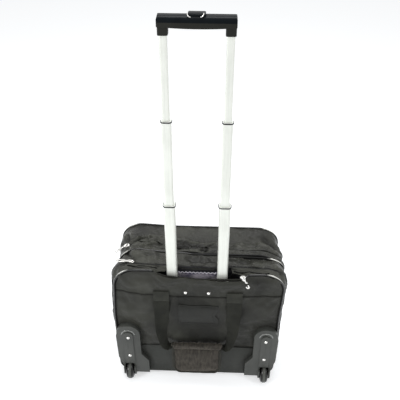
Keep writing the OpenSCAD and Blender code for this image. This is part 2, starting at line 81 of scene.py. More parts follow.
bpy.ops.object.camera_add(location=CAMERA_PLACE)
camera = bpy.context.object
camera.rotation_euler = (pi / 2 - CAMERA_PITCH, CAMERA_LEAN, CAMERA_YAW)
camera.data.lens = LENS
camera.data.sensor_width = SENSOR
camera.data.sensor_fit = "AUTO"
camera.data.clip_start = 0.05
camera.data.clip_end = 30.0
bpy.context.scene.camera = camera
bpy.context.view_layer.update()

# Points of the photograph, x to the right and y down
IMAGE = {
    "case_left": (113.0, 300.0),
    "case_right": (287.5, 280.0),
    "button_top": (195.6, 10.0),
    "wheel_bottom": (262.6, 381.8),
    "button_mark_left": (188.4, 14.9),
    "button_mark_right": (202.6, 14.9),
    "lining_stitch_left": (178.0, 270.4),
    "lining_stitch_right": (213.0, 272.2),
    "seam_left": (119.0, 289.7),
    "seam_mid_left": (153.0, 294.5),
    "seam_middle": (205.0, 297.1),
    "seam_right": (279.0, 296.4),
    "card_upper_left": (178.4, 304.0),
    "card_lower_right": (217.6, 323.8),
    "card_notch": (215.4, 315.4),
    "kick_seam": (160.0, 345.3),
    "wrap_seam": (197.0, 348.4),
    "housing_arch_left": (125.3, 330.6),
    "housing_arch_right": (266.6, 334.2),
}

# ------------------------------------------------------------------ sizes, from the frame

MM = 0.001
PANEL_T = 4 * MM
STRAP_T = 2.4 * MM
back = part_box("back_panel")[1].y - PANEL_T
case_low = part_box("back_panel")[0].z
case_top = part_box("back_panel")[1].z
half_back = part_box("back_panel")[1].x
zip_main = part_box("main_gusset")[0].y
half_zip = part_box("main_gusset")[1].x
flap_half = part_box("main_flap")[1].x
middle_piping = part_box("main_flap")[1].y + 2 * MM
half_piping = half_back + 4 * MM
zip_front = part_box("main_gusset")[1].y
half_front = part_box("front_gusset")[1].x
leaf_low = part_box("front_gusset")[0].z
leaf_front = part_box("front_gusset")[1].y
half_leaf = half_front - 3 * MM
leaf_top = case_top - 4 * MM
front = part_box("front_panel")[1].y - STRAP_T + 0.1 * MM
CORNER_TOP = 52 * MM
CORNER_LOW = 30 * MM
CELL = 6 * MM
MOUTH = (-99 * MM, 108 * MM)
PIPING_R = 2.2 * MM
ZIP_HALF = 2.6 * MM
FRONT_ZIP_HALF = 0.9 * MM
CLOTH_T = 1.6 * MM

# ------------------------------------------------------------------ modelling helpers

def alone(piece):
    """Selects this piece and nothing else."""
    if bpy.context.object and bpy.context.object.mode != "OBJECT":
        bpy.ops.object.mode_set(mode="OBJECT")
    bpy.ops.object.select_all(action="DESELECT")
    piece.select_set(True)
    bpy.context.view_layer.objects.active = piece


def settle(piece, name):
    """Names a new primitive and puts its place into its mesh."""
    alone(piece)
    piece.name = name
    bpy.ops.object.transform_apply(location=True, rotation=True, scale=True)
    return piece


def box(name, low, high):
    """A box from one corner to the other."""
    bpy.ops.object.select_all(action="DESELECT")
    low, high = Vector(low), Vector(high)
    bpy.ops.mesh.primitive_cube_add(size=1, location=(low + high) / 2)
    bpy.context.object.scale = high - low
    return settle(bpy.context.object, name)


def choose(piece, kind, test):
    """Opens a piece in edit mode with only what passes the test selected. The test is given a
    place and, for an edge, its vector, or, for a face, its normal."""
    alone(piece)
    bpy.ops.object.mode_set(mode="EDIT")
    bpy.ops.mesh.select_mode(type=kind)
    bpy.ops.mesh.select_all(action="DESELECT")
    bpy.ops.object.mode_set(mode="OBJECT")
    points = piece.data.vertices
    if kind == "VERT":
        for v in points:
            v.select = bool(test(v.co))
    elif kind == "EDGE":
        for e in piece.data.edges:
            a, b = points[e.vertices[0]].co, points[e.vertices[1]].co
            e.select = bool(test((a + b) / 2, b - a))
    else:
        for f in piece.data.polygons:
            f.select = bool(test(f.center, f.normal))
    bpy.ops.object.mode_set(mode="EDIT")


def choose_all(piece):
    alone(piece)
    bpy.ops.object.mode_set(mode="EDIT")
    bpy.ops.mesh.select_all(action="SELECT")


def closed():
    bpy.ops.object.mode_set(mode="OBJECT")


def slice_up(piece, axis, start, stop, step):
    """Cuts a piece with a row of planes across one axis."""
    normal = Vector([float(i == axis) for i in range(3)])
    count = ceil((stop - start) / step)
    choose_all(piece)
    for k in range(1, count):
        bpy.ops.mesh.select_all(action="SELECT")
        bpy.ops.mesh.bisect(plane_co=normal * (start + (stop - start) * k / count), plane_no=normal)
    closed()


def shape(piece, *rules):
    """Moves each vertex to where the rules put it, one rule after another."""
    for rule in rules:
        for v in piece.data.vertices:
            v.co = rule(v.co)
        piece.data.update()
    return piece


def cut_away(piece, test, kind="FACE"):
    """Deletes the parts of a piece that pass the test."""
    choose(piece, kind, test)
    bpy.ops.mesh.delete(type=kind)
    closed()


def split_off(piece, name):
    """Makes what is selected in edit mode a piece of its own."""
    bpy.ops.mesh.separate(type="SELECTED")
    closed()
    made = [o for o in bpy.context.selected_objects if o != piece][0]
    made.name = name
    return made


def flipped(piece):
    """Turns all faces of a piece the other way."""
    choose_all(piece)
    bpy.ops.mesh.flip_normals()
    closed()
    return piece


def keep_painted_light(piece, amount):
    """Keeps how strong each vertex's painted highlight is, from 0 to 1, in the attribute "wear"."""
    wear = piece.data.attributes.new("wear", "FLOAT", "POINT")
    for v in piece.data.vertices:
        wear.data[v.index].value = amount(v)


def finish_with(piece, kind, **values):
    """Adds a modifier with these values and applies it."""
    alone(piece)
    modifier = piece.modifiers.new(kind.title(), kind)
    for key, value in values.items():
        setattr(modifier, key, value)
    bpy.ops.object.modifier_apply(modifier=modifier.name)
    return piece


def rounder(piece, levels=1):
    return finish_with(piece, "SUBSURF", levels=levels, render_levels=levels)


def smooth(piece, degrees=40):
    alone(piece)
    bpy.ops.object.shade_smooth_by_angle(angle=radians(degrees))
    return piece


def outward(piece):
    choose_all(piece)
    bpy.ops.mesh.normals_make_consistent(inside=False)
    closed()
    return piece


def lay_weave(piece):
    """A UV map in metres, so that the threads follow the cloth."""
    layer = piece.data.uv_layers.new(name="weave")
    for f in piece.data.polygons:
        across = max(range(3), key=lambda i: abs(f.normal[i]))
        for k in f.loop_indices:
            co = piece.data.vertices[piece.data.loops[k].vertex_index].co
            layer.data[k].uv = [c for i, c in enumerate(co) if i != across]
    return piece


def smoothstep(x):
    x = min(max(x, 0.0), 1.0)
    return x * x * (3 - 2 * x)


def graded(table, x):
    """The value at x, blended smoothly between the table's stations; all in millimetres."""
    x = min(max(x / MM, table[0][0]), table[-1][0])
    for (x0, a), (x1, b) in zip(table, table[1:]):
        if x <= x1:
            t = (x - x0) / (x1 - x0)
            return (a + (b - a) * (0.4 * t + 0.6 * smoothstep(t))) * MM


def near(a, b, reach=0.1 * MM):
    return abs(a - b) < reach


def join(name, pieces):
    """Joins pieces into one."""
    alone(pieces[0])
    for p in pieces[1:]:
        p.select_set(True)
    if len(pieces) > 1:
        bpy.ops.object.join()
    pieces[0].name = name
    return pieces[0]


def twin(piece, name, rule=None):
    """A copy with its own mesh."""
    made = piece.copy()
    made.data = piece.data.copy()
    made.name = name
    bpy.context.scene.collection.objects.link(made)
    if rule:
        shape(made, rule)
    return made


def mirrored(piece, name):
    return flipped(twin(piece, name, lambda p: Vector((-p.x, p.y, p.z))))


def band(name, rear, ahead, half_rear, half_ahead, low, high_rear, high_ahead, cell=CELL):
    """A strip of cloth right round the case, from one depth to another, open at both ends."""
    middle = (low + high_rear) / 2
    piece = box(name, (-half_rear, rear, low), (half_rear, ahead, high_rear))
    cut_away(piece, lambda c, n: abs(n.y) > 0.9)
    for upper, radius, parts in ((True, CORNER_TOP, 12), (False, CORNER_LOW, 7)):
        choose(piece, "EDGE", lambda c, d: abs(d.y) > 5 * abs(d.x) + abs(d.z) and (c.z > middle) == upper)
        bpy.ops.mesh.bevel(offset=radius, segments=parts, affect="EDGES")
    for side in (-1, 1):
        choose(piece, "VERT", lambda p: near(p.y, ahead) and side * p.x > 0)
        bpy.ops.transform.translate(value=(side * (half_ahead - half_rear), 0, 0))
    choose(piece, "VERT", lambda p: near(p.y, ahead) and p.z > middle)
    bpy.ops.transform.translate(value=(0, 0, high_ahead - high_rear))
    long_side = 100 * MM
    for axis in (0, 2):
        choose(piece, "EDGE", lambda c, d: abs(d[axis]) > long_side)
        bpy.ops.mesh.subdivide(number_cuts=ceil(2 * (half_rear - CORNER_TOP) / cell) - 1)
    choose(piece, "EDGE", lambda c, d: abs(d.y) > (ahead - rear) / 2)
    bpy.ops.mesh.subdivide(number_cuts=max(1, ceil((ahead - rear) / cell) - 1))
    closed()
    return lay_weave(piece)


def upright_sheet(name, depth, left, right, low, high):
    """A flat sheet that faces back."""
    bpy.ops.object.select_all(action="DESELECT")
    bpy.ops.mesh.primitive_plane_add(size=1, location=((left + right) / 2, depth, (low + high) / 2),
        rotation=(pi / 2, 0, 0))
    bpy.context.object.scale = (right - left, high - low, 1)
    return settle(bpy.context.object, name)


def panel(name, depth, half, low, high, radius_low=CORNER_LOW, radius_top=CORNER_TOP, cell=CELL):
    """A flat sheet of cloth with the case's outline, facing back, cut into even cells."""
    piece = upright_sheet(name, depth, -half, half, low, high)
    middle = (low + high) / 2
    for upper, radius, parts in ((True, radius_top, 12), (False, radius_low, 7)):
        choose(piece, "VERT", lambda p: (p.z > middle) == upper)
        bpy.ops.mesh.bevel(offset=radius, segments=parts, affect="VERTICES")
    slice_up(piece, 0, -half, half, cell)
    slice_up(piece, 2, low, high, cell)
    return lay_weave(piece)


def tremble(piece, size, height, seed):
    """Small, smooth unevenness across the cloth, from which its folds grow."""
    shift = Vector((seed * 7.3, seed * 3.1, seed * 5.7))
    normals = [v.normal.copy() for v in piece.data.vertices]
    for v, n in zip(piece.data.vertices, normals):
        v.co += n * (height * noise.noise(v.co / size + shift))
    piece.data.update()
    return piece


def crease(piece, along, across, turn, height, seed, where):
    """Sharp little folds, long one way and narrow the other, turned about Z. where is 0 to 1."""
    shift = Vector((seed * 1.7, seed * 4.3, seed * 2.9))
    normals = [v.normal.copy() for v in piece.data.vertices]
    c, s = cos(radians(turn)), sin(radians(turn))
    for v, n in zip(piece.data.vertices, normals):
        p = v.co
        place = Vector(((p.x * c + p.y * s) / along, (p.y * c - p.x * s) / across, p.z / along))
        ridge = 1 - min(1.0, 3 * abs(noise.noise(place + shift)))
        v.co = p + n * (height * (ridge ** 1.6 - 0.3) * where(p))
    piece.data.update()
    return piece


def billow(piece, held, slack, puff, bend=0.4, cap=12 * MM, frames=20, loose=None):
    """Lets the cloth settle under a little pressure. held gives how firmly a place is held, from
    0 to 1, and loose how much of the slack it has."""
    alone(piece)
    start = [v.co.copy() for v in piece.data.vertices]
    firm = piece.vertex_groups.new(name="held")
    spare = piece.vertex_groups.new(name="spare")
    for v in piece.data.vertices:
        firm.add([v.index], held(v.co), "REPLACE")
        spare.add([v.index], 1 - loose(v.co) if loose else 0.0, "REPLACE")
    cloth = piece.modifiers.new("Cloth", "CLOTH")
    cloth.settings.quality = 6
    cloth.settings.mass = 0.2
    cloth.settings.tension_stiffness = 20
    cloth.settings.compression_stiffness = 20
    cloth.settings.shear_stiffness = 8
    cloth.settings.bending_stiffness = bend
    cloth.settings.air_damping = 3
    cloth.settings.vertex_group_mass = "held"
    cloth.settings.use_pressure = True
    cloth.settings.uniform_pressure_force = puff
    cloth.settings.vertex_group_shrink = "spare"
    cloth.settings.shrink_min = -slack
    cloth.settings.shrink_max = 0.0
    cloth.settings.effector_weights.gravity = 0
    cloth.collision_settings.use_collision = False
    cloth.point_cache.frame_start = 1
    cloth.point_cache.frame_end = frames
    for f in range(1, frames + 1):
        bpy.context.scene.frame_set(f)
    bpy.ops.object.modifier_apply(modifier=cloth.name)
    bpy.context.scene.frame_set(1)
    for v, p in zip(piece.data.vertices, start):
        moved = v.co - p
        if moved.length > cap:
            v.co = p + moved * (cap / moved.length)
    piece.vertex_groups.clear()
    piece.data.update()
    return piece


def fold(piece, strokes, facets=()):
    """Folds laid on what faces up, in mm. A stroke has its start and end in x and y, half its width, and its
    height, or, for a hollow, its depth below 0. A facet has its middle and half its size in x and y, its
    slant, its depth at the near side, and how dark it is painted. The folds also paint light into the
    cloth's tone: painted highlight on the ridges and painted shade in the hollows and facets, kept in the
    attribute "wear"."""
    wear = piece.data.attributes.get("wear") or piece.data.attributes.new("wear", "FLOAT", "POINT")
    points = [(v, v.normal.copy(), v.co.copy()) for v in piece.data.vertices if v.normal.z > 0.2]
    tones = [0.0] * len(piece.data.vertices)
    for x0, y0, x1, y1, half, height in strokes:
        start, way = Vector((x0, y0)) * MM, Vector((x1 - x0, y1 - y0)) * MM
        reach = 2.5 * half * MM
        for v, normal, p in points:
            if not min(x0, x1) * MM - reach < p.x < max(x0, x1) * MM + reach:
                continue
            off = p.xy - start
            off -= way * min(max(off.dot(way) / way.length_squared, 0.0), 1.0)
            amount = exp(-(off.length / (half * MM)) ** 2)
            v.co += normal * (height * MM * amount)
            tones[v.index] += amount * min(max(height / 5, -1), 1)
    for x, y, half_x, half_y, slant, depth, dark in facets:
        for v, normal, p in points:
            v_off = (p.y / MM - y) / half_y
            u_off = (p.x / MM - x - slant * (p.y / MM - y)) / half_x
            amount = smoothstep((1.2 - (abs(u_off) ** 3 + abs(v_off) ** 3) ** (1 / 3)) / 0.4)
            v.co.z -= depth * MM * amount * (1 - v_off) / 2
            tones[v.index] -= dark * amount
    # The tones are painted light: highlight on the ridges, shade in the hollows and facets
    wear.data.foreach_set("value", [min(max(t, -1.2), 1.2) for t in tones])
    piece.data.update()
    return piece


def cloth_wall(piece, thickness=CLOTH_T, creases=(), folds=(), facets=()):
    """Gives a sheet a smooth surface with its creases and folds, and its thickness inwards."""
    rounder(piece)
    for values in creases:
        crease(piece, *values)
    fold(piece, folds, facets)
    finish_with(piece, "SOLIDIFY", thickness=thickness, offset=-1.0)
    return smooth(piece, 60)


def path_from(piece, name, test):
    """The edges that pass the test, copied out as a curve."""
    choose(piece, "EDGE", test)
    bpy.ops.mesh.duplicate()
    alone(split_off(piece, name))
    bpy.ops.object.convert(target="CURVE")
    made = bpy.context.object
    made.name = name
    return made


def path_through(name, points, cyclic=False):
    """A smooth curve through a few points."""
    data = bpy.data.curves.new(name, "CURVE")
    data.dimensions = "3D"
    data.resolution_u = 8
    line = data.splines.new("BEZIER")
    line.bezier_points.add(len(points) - 1)
    for b, p in zip(line.bezier_points, points):
        b.co = p
        b.handle_left_type = b.handle_right_type = "AUTO"
    line.use_cyclic_u = cyclic
    made = bpy.data.objects.new(name, data)
    bpy.context.scene.collection.objects.link(made)
    return made


def round_cord(path, name, radius, sides=3):
    """Turns a path into a round cord of that radius."""
    path.data.bevel_depth = radius
    path.data.bevel_resolution = sides
    path.data.use_fill_caps = True
    alone(path)
    bpy.ops.object.convert(target="MESH")
    made = bpy.context.object
    made.name = name
    outward(made)
    return smooth(made, 60)


def row_along(path, name, bead, pitch):
    """Copies of a bead laid end to end along a path; the bead lies along X."""
    made = twin(bead, name)
    alone(made)
    array = made.modifiers.new("Array", "ARRAY")
    array.fit_type = "FIT_CURVE"
    array.curve = path
    array.use_relative_offset = False
    array.use_constant_offset = True
    array.constant_offset_displace = (pitch, 0, 0)
    bend = made.modifiers.new("Curve", "CURVE")
    bend.object = path
    for modifier in (array.name, bend.name):
        bpy.ops.object.modifier_apply(modifier=modifier)
    return made


def drop(*pieces):
    for p in pieces:
        bpy.data.objects.remove(p, do_unlink=True)


def dress(piece, material, body, *stands_for, slot=None):
    """Gives a finished piece its material and its body, and hides the CAD nodes that it stands for. For
    cloth that bends from one body to another, body is the two and where the bend starts and ends; such a
    piece only has its place baked into its mesh, and is given neither body nor bend."""
    piece.data.materials.clear()
    piece.data.materials.append(material)
    if isinstance(body, tuple):
        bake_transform(piece)
    else:
        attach(piece, body)
    if stands_for:
        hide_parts(*stands_for)
    return piece


def tree_of(*pieces):
    """One ray-casting tree over finished pieces."""
    points, faces = [], []
    for p in pieces:
        start = len(points)
        points += [v.co.copy() for v in p.data.vertices]
        faces += [[start + i for i in f.vertices] for f in p.data.polygons]
    return BVHTree.FromPolygons(points, faces)


def on_surface(tree, point):
    """The place on a surface that shows at an image point, and the surface's normal there."""
    scale = max(PHOTO_W, PHOTO_H)
    data = camera.data
    ray = Vector((point[0] - PHOTO_W / 2 + data.shift_x * scale,
        PHOTO_H / 2 - point[1] + data.shift_y * scale, -scale * data.lens / data.sensor_width))
    origin = camera.matrix_world.translation
    ray = (camera.matrix_world.to_3x3() @ ray).normalized()
    place, normal, _, _ = tree.ray_cast(origin, ray)
    if place is None:
        steps = [origin + ray * (0.8 + 0.002 * k) for k in range(600)]
        found = [tree.find_nearest(s) for s in steps]
        place, normal, _, _ = min(found, key=lambda f: f[3])
    return place, normal

# ------------------------------------------------------------------ materials

def new_material(name, roughness=0.5, metallic=0.0, specular=0.5, sheen=0.0, coat=0.0):
    """A material with its constant values on the shader's own sockets."""
    material = bpy.data.materials.new(name)
    material.use_nodes = True
    tree = material.node_tree
    shader = tree.nodes["Principled BSDF"]
    shader.inputs["Roughness"].default_value = roughness
    shader.inputs["Metallic"].default_value = metallic
    shader.inputs["Specular IOR Level"].default_value = specular
    shader.inputs["Sheen Weight"].default_value = sheen
    shader.inputs["Sheen Roughness"].default_value = 0.4
    shader.inputs["Coat Weight"].default_value = coat
    shader.inputs["Coat Roughness"].default_value = 0.12
    return material, tree, shader


def put(tree, kind, settings=None, **inputs):
    """Adds a node. An input is a plain value or the socket that feeds it, by name or as in0, in1."""
    made = tree.nodes.new("ShaderNode" + kind)
    for key, value in (settings or {}).items():
        setattr(made, key, value)
    for key, value in inputs.items():
        numbered = key[:2] == "in" and key[2:].isdigit()
        socket = made.inputs[int(key[2:])] if numbered else made.inputs[key.replace("_", " ")]
        if isinstance(value, bpy.types.NodeSocket):
            tree.links.new(value, socket)
        else:
            socket.default_value = value
    return made


def maths(tree, operation, a, b=0.0):
    return put(tree, "Math", {"operation": operation}, in0=a, in1=b).outputs[0]


def cloud(tree, place, size, detail=3.0, stretch=(1, 1, 1)):
    """Soft noise with blotches of about that size, in metres."""
    spread = put(tree, "Mapping", Vector=place, Scale=stretch).outputs[0]
    return put(tree, "TexNoise", Vector=spread, Scale=1 / size, Detail=detail).outputs["Fac"]


def tint(tree, factor, dark, light, low=0.3, high=0.7):
    """A colour that goes from dark to light as the factor goes from low to high."""
    ramp = put(tree, "ValToRGB", Fac=factor)
    ramp.color_ramp.elements[0].position = low
    ramp.color_ramp.elements[0].color = (*dark, 1)
    ramp.color_ramp.elements[1].position = high
    ramp.color_ramp.elements[1].color = (*light, 1)
    return ramp.outputs["Color"]


def relief(tree, shader, height, depth, strength=1.0, under=None):
    """Bump of that depth in metres, over an earlier one."""
    bump = put(tree, "Bump", Height=height, Distance=depth, Strength=strength)
    if under:
        tree.links.new(under, bump.inputs["Normal"])
    tree.links.new(bump.outputs[0], shader.inputs["Normal"])
    return bump.outputs[0]


def object_place(tree):
    return put(tree, "TexCoord").outputs["Object"]


def uv_place(tree):
    return put(tree, "UVMap", {"uv_map": "weave"}).outputs[0]


def waves(tree, place, pitch_x, pitch_y):
    """Two rows of waves across a place's first two axes, each from -1 to 1."""
    parts = put(tree, "SeparateXYZ", Vector=place)
    across = maths(tree, "SINE", maths(tree, "MULTIPLY", parts.outputs[0], tau / pitch_x))
    along = maths(tree, "SINE", maths(tree, "MULTIPLY", parts.outputs[1], tau / pitch_y))
    return across, along


# How much the folds' painted shade and highlight show in a cloth's tone
FOLD_SHADING = 0.26


def woven(name, dark, light, thread=1.1 * MM, roughness=0.5, sheen=0.08, specular=0.2, blotch=0.09,
        painted_shade=None):
    """Plain-woven cloth: two sets of threads, soft blotches, and a little sheen. painted_shade is a place,
    its radii, and how much darker the cloth is painted there, as shade."""
    material, tree, shader = new_material(name, roughness, specular=specular, sheen=sheen)
    place = uv_place(tree)
    across, along = waves(tree, place, thread, thread)
    over = maths(tree, "MULTIPLY", across, along)
    worn = cloud(tree, object_place(tree), blotch, 4.0)
    slub = cloud(tree, place, 3 * MM, 2.0, (1, 6, 1))
    tone = maths(tree, "ADD", maths(tree, "MULTIPLY", over, 0.08), worn)
    tone = maths(tree, "ADD", tone, maths(tree, "MULTIPLY", slub, 0.15))
    # Painted shade: the cloth is darker inside an ellipse
    if painted_shade:
        middle, radii, amount = painted_shade
        spot = put(tree, "Mapping", {"vector_type": "TEXTURE"}, Vector=object_place(tree), Location=middle,
            Scale=radii)
        away = put(tree, "VectorMath", {"operation": "LENGTH"}, in0=spot.outputs[0]).outputs["Value"]
        painted_dark = put(tree, "MapRange", {"interpolation_type": "SMOOTHSTEP"}, Value=away, in1=0.55, in2=1.15,
            in3=amount, in4=0.0)
        tone = maths(tree, "SUBTRACT", tone, painted_dark.outputs[0])
    # The folds' painted shade and highlight
    wear = put(tree, "Attribute", {"attribute_name": "wear"}).outputs["Fac"]
    tone = maths(tree, "ADD", tone, maths(tree, "MULTIPLY", wear, FOLD_SHADING))
    tree.links.new(tint(tree, tone, dark, light, 0.38, 0.85), shader.inputs["Base Color"])
    soft = relief(tree, shader, slub, 0.25 * MM, 0.5)
    relief(tree, shader, over, 0.12 * MM, 0.6, soft)
    return material


def ribbed(name, dark, light, rib=1.6 * MM, roughness=0.7, sheen=0.06):
    """Webbing: ribs across the strap, with a fine twill between them."""
    material, tree, shader = new_material(name, roughness, specular=0.15, sheen=sheen)
    place = uv_place(tree)
    across, along = waves(tree, place, 0.7 * rib, rib)
    twill = maths(tree, "MULTIPLY", maths(tree, "ADD", across, along), 0.5)
    worn = cloud(tree, object_place(tree), 0.03)
    tone = maths(tree, "ADD", maths(tree, "MULTIPLY", twill, 0.15), worn)
    tree.links.new(tint(tree, tone, dark, light), shader.inputs["Base Color"])
    relief(tree, shader, twill, 0.3 * MM, 0.6)
    return material


def velour(name, dark, light):
    """Napped cloth with faint upright ribs, for the handle wraps."""
    material, tree, shader = new_material(name, 0.9, specular=0.1, sheen=0.3)
    shader.inputs["Sheen Roughness"].default_value = 0.6
    shader.inputs["Sheen Tint"].default_value = (0.75, 0.68, 0.6, 1)
    place = object_place(tree)
    nap = cloud(tree, place, 7 * MM, 5.0, (1.6, 1, 0.45))
    pile = cloud(tree, place, 0.9 * MM, 2.0)
    cord, _ = waves(tree, place, 3.2 * MM, 1.0)
    tone = maths(tree, "ADD", nap, maths(tree, "MULTIPLY", cord, 0.05))
    tree.links.new(tint(tree, tone, dark, light, 0.35, 0.68), shader.inputs["Base Color"])
    soft = relief(tree, shader, cord, 0.25 * MM, 0.4)
    relief(tree, shader, pile, 0.4 * MM, 0.7, soft)
    return material


def moulded(name, dark, light, grain=0.9 * MM, roughness=0.5, depth=0.12 * MM, specular=0.25, coat=0.0):
    """Injection-moulded plastic with a fine spark grain."""
    material, tree, shader = new_material(name, roughness, specular=specular, coat=coat)
    place = object_place(tree)
    cells = put(tree, "TexVoronoi", Vector=place, Scale=1 / grain).outputs["Distance"]
    worn = cloud(tree, place, 0.04, 4.0)
    tree.links.new(tint(tree, worn, dark, light), shader.inputs["Base Color"])
    rough = put(tree, "MapRange", Value=worn, in3=roughness - 0.06, in4=roughness + 0.08)
    tree.links.new(rough.outputs[0], shader.inputs["Roughness"])
    relief(tree, shader, cells, depth, 0.6)
    return material


def metal(name, colour, shade, roughness=0.3, brushed=(1, 1, 1), metallic=1.0, depth=0.02 * MM,
        specks=1.2 * MM):
    """Bare metal with brushing drawn out along the axis with the smallest scale."""
    material, tree, shader = new_material(name, roughness, metallic=metallic)
    place = object_place(tree)
    lines = cloud(tree, place, specks, 4.0, brushed)
    worn = cloud(tree, place, 0.05, 3.0)
    tone = maths(tree, "ADD", maths(tree, "MULTIPLY", lines, 0.5), maths(tree, "MULTIPLY", worn, 0.5))
    tree.links.new(tint(tree, tone, shade, colour, 0.35, 0.6), shader.inputs["Base Color"])
    rough = put(tree, "MapRange", Value=lines, in3=roughness - 0.08, in4=roughness + 0.1)
    tree.links.new(rough.outputs[0], shader.inputs["Roughness"])
    relief(tree, shader, lines, depth, 0.4)
    return material


def glossy(name, dark, light, roughness=0.22, coat=0.3, ripple=4 * MM, coat_ior=1.5, specular=0.35,
        painted_highlight=None):
    """Smooth coated vinyl, rubber or polished plastic, a little uneven. painted_highlight is the colour of a
    painted highlight, laid where the attribute "wear" is 1."""
    material, tree, shader = new_material(name, roughness, specular=specular, coat=coat)
    shader.inputs["Coat IOR"].default_value = coat_ior
    place = object_place(tree)
    worn = cloud(tree, place, 0.02, 4.0)
    colour = tint(tree, worn, dark, light)
    # Painted highlight, mixed in where the attribute says
    if painted_highlight:
        wear = put(tree, "Attribute", {"attribute_name": "wear"}).outputs["Fac"]
        mixed = put(tree, "Mix", {"data_type": "RGBA"}, in0=wear, in6=colour, in7=(*painted_highlight, 1))
        colour = mixed.outputs[2]
    tree.links.new(colour, shader.inputs["Base Color"])
    rough = put(tree, "MapRange", Value=worn, in3=roughness - 0.05, in4=roughness + 0.12)
    tree.links.new(rough.outputs[0], shader.inputs["Roughness"])
    relief(tree, shader, cloud(tree, place, ripple, 2.0), 0.1 * MM, 0.35)
    return material


nylon = woven("charcoal_nylon", (0.024, 0.0245, 0.0195), (0.052, 0.053, 0.043))
nylon_top = woven("charcoal_nylon_top", (0.0095, 0.0095, 0.0075), (0.047, 0.048, 0.038), roughness=0.4,
    specular=0.3)
# The back panel's cloth has painted shade between the straps, in the ellipse given below
panel_nylon = woven("charcoal_nylon_panel", (0.0105, 0.0105, 0.0085), (0.058, 0.059, 0.048),
    painted_shade=((0.005, back, 0.235), (0.085, 0.05, 0.115), 0.2))
coated_cloth = woven("coated_kick_cloth", (0.031, 0.033, 0.029), (0.045, 0.047, 0.042), 0.8 * MM, 0.55, 0.05)
binding = ribbed("black_binding_tape", (0.010, 0.010, 0.008), (0.022, 0.022, 0.018), 1.0 * MM)
wrap_binding = ribbed("olive_wrap_binding", (0.017, 0.017, 0.013), (0.042, 0.041, 0.033), 1.0 * MM)
webbing = ribbed("charcoal_webbing", (0.012, 0.0125, 0.010), (0.026, 0.027, 0.021), 1.8 * MM)
tab_webbing = ribbed("charcoal_tab_webbing", (0.028, 0.029, 0.024), (0.052, 0.053, 0.044), 1.8 * MM)
zip_tape = ribbed("black_zip_tape", (0.008, 0.008, 0.007), (0.017, 0.017, 0.014), 0.9 * MM)
wrap_velour = velour("brown_black_velour", (0.009, 0.0085, 0.007), (0.048, 0.043, 0.035))
# The lining has a narrow band of painted shadow just below the zigzag at its top
satin = woven("grey_violet_lining", (0.085, 0.075, 0.14), (0.95, 0.88, 0.96), 0.5 * MM, 0.34, 0.2, 0.5,
    0.028, painted_shade=((0.02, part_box("pocket_lining")[0].y, 0.363), (0.12, 0.05, 0.005), 0.25))
pale_thread = glossy("pale_thread", (0.55, 0.52, 0.60), (0.80, 0.78, 0.84), 0.35, 0.2)
dark_lining = woven("dark_lining", (0.016, 0.016, 0.019), (0.042, 0.042, 0.048), 0.6 * MM, 0.6,
    specular=0.08)
card_vinyl = moulded("card_pocket_vinyl", (0.0155, 0.016, 0.014), (0.024, 0.0245, 0.0215), 0.6 * MM, 0.42,
    specular=0.17)
# The pale colour (0.85, 0.85, 0.80) is a painted highlight on the piping's upper corners
piping_vinyl = glossy("black_piping_vinyl", (0.004, 0.004, 0.0035), (0.009, 0.009, 0.008), 0.18, 0.45,
    9 * MM, 1.5, 0.3, (0.85, 0.85, 0.80))
# Near-black cords of painted shadow, for the crevices beside the pipings and the furrows and slit of the top
shadow_black = ribbed("seam_shadow_thread", (0.002, 0.002, 0.0018), (0.005, 0.005, 0.0045), 0.8 * MM, 0.9, 0.0)
thread_black = ribbed("dark_thread", (0.010, 0.010, 0.009), (0.034, 0.034, 0.030), 0.5 * MM)
coil_nylon = glossy("zip_coil", (0.006, 0.006, 0.006), (0.014, 0.014, 0.013), 0.3, 0.1)
housing_plastic = moulded("olive_grey_plastic", (0.046, 0.049, 0.044), (0.066, 0.069, 0.062), 1.3 * MM,
    0.42, 0.18 * MM, 0.35)
frame_plastic = moulded("black_frame_plastic", (0.008, 0.008, 0.008), (0.016, 0.016, 0.016))
grip_plastic = moulded("olive_black_grip", (0.013, 0.0135, 0.0115), (0.022, 0.0225, 0.019), 0.8 * MM, 0.5,
    specular=0.13)
cover_gloss = glossy("blue_black_cover", (0.0015, 0.003, 0.0045), (0.003, 0.0055, 0.0075), 0.3, 0.0,
    specular=0.09)
collar_dark = moulded("dark_collar", (0.006, 0.006, 0.0055), (0.012, 0.012, 0.011), 0.8 * MM, 0.4,
    specular=0.15)
collar_light = moulded("pale_collar_cap", (0.78, 0.80, 0.77), (0.88, 0.90, 0.86), 0.8 * MM, 0.3)
aluminium = metal("satin_aluminium", (0.90, 0.92, 0.86), (0.80, 0.82, 0.76), 0.42, (1, 1, 0.02), 0.4)
steel = metal("bright_steel", (0.80, 0.79, 0.76), (0.62, 0.61, 0.59), 0.2)
zinc = metal("nickelled_zinc", (0.90, 0.89, 0.86), (0.62, 0.61, 0.58), 0.18)
# The tyre's pale colour is a painted highlight on the middle of its tread
tyre_rubber = glossy("black_tyre", (0.002, 0.002, 0.002), (0.006, 0.006, 0.006), 0.16, 0.35,
    specular=0.1, painted_highlight=(0.10, 0.105, 0.095))
# The arch's pale colour is a painted highlight
arch_highlight_plastic = glossy("polished_arch", (0.14, 0.145, 0.135), (0.24, 0.25, 0.235), 0.15, 0.9, coat_ior=1.7)
hub_plastic = moulded("dark_hub", (0.012, 0.012, 0.012), (0.022, 0.022, 0.022), 0.7 * MM, 0.35)
foot_rubber = moulded("foot_rubber", (0.008, 0.008, 0.008), (0.016, 0.016, 0.016), 1.0 * MM, 0.8)
pad_foam = woven("pad_cloth", (0.015, 0.015, 0.017), (0.028, 0.028, 0.031), 1.4 * MM, 0.8, 0.3)

# ------------------------------------------------------------------ light, floor and background

AMBIENT = 0.45
FLOOR_COLOUR = (0.84, 0.86, 0.88, 1)
FLOOR_GLOW = 0.5


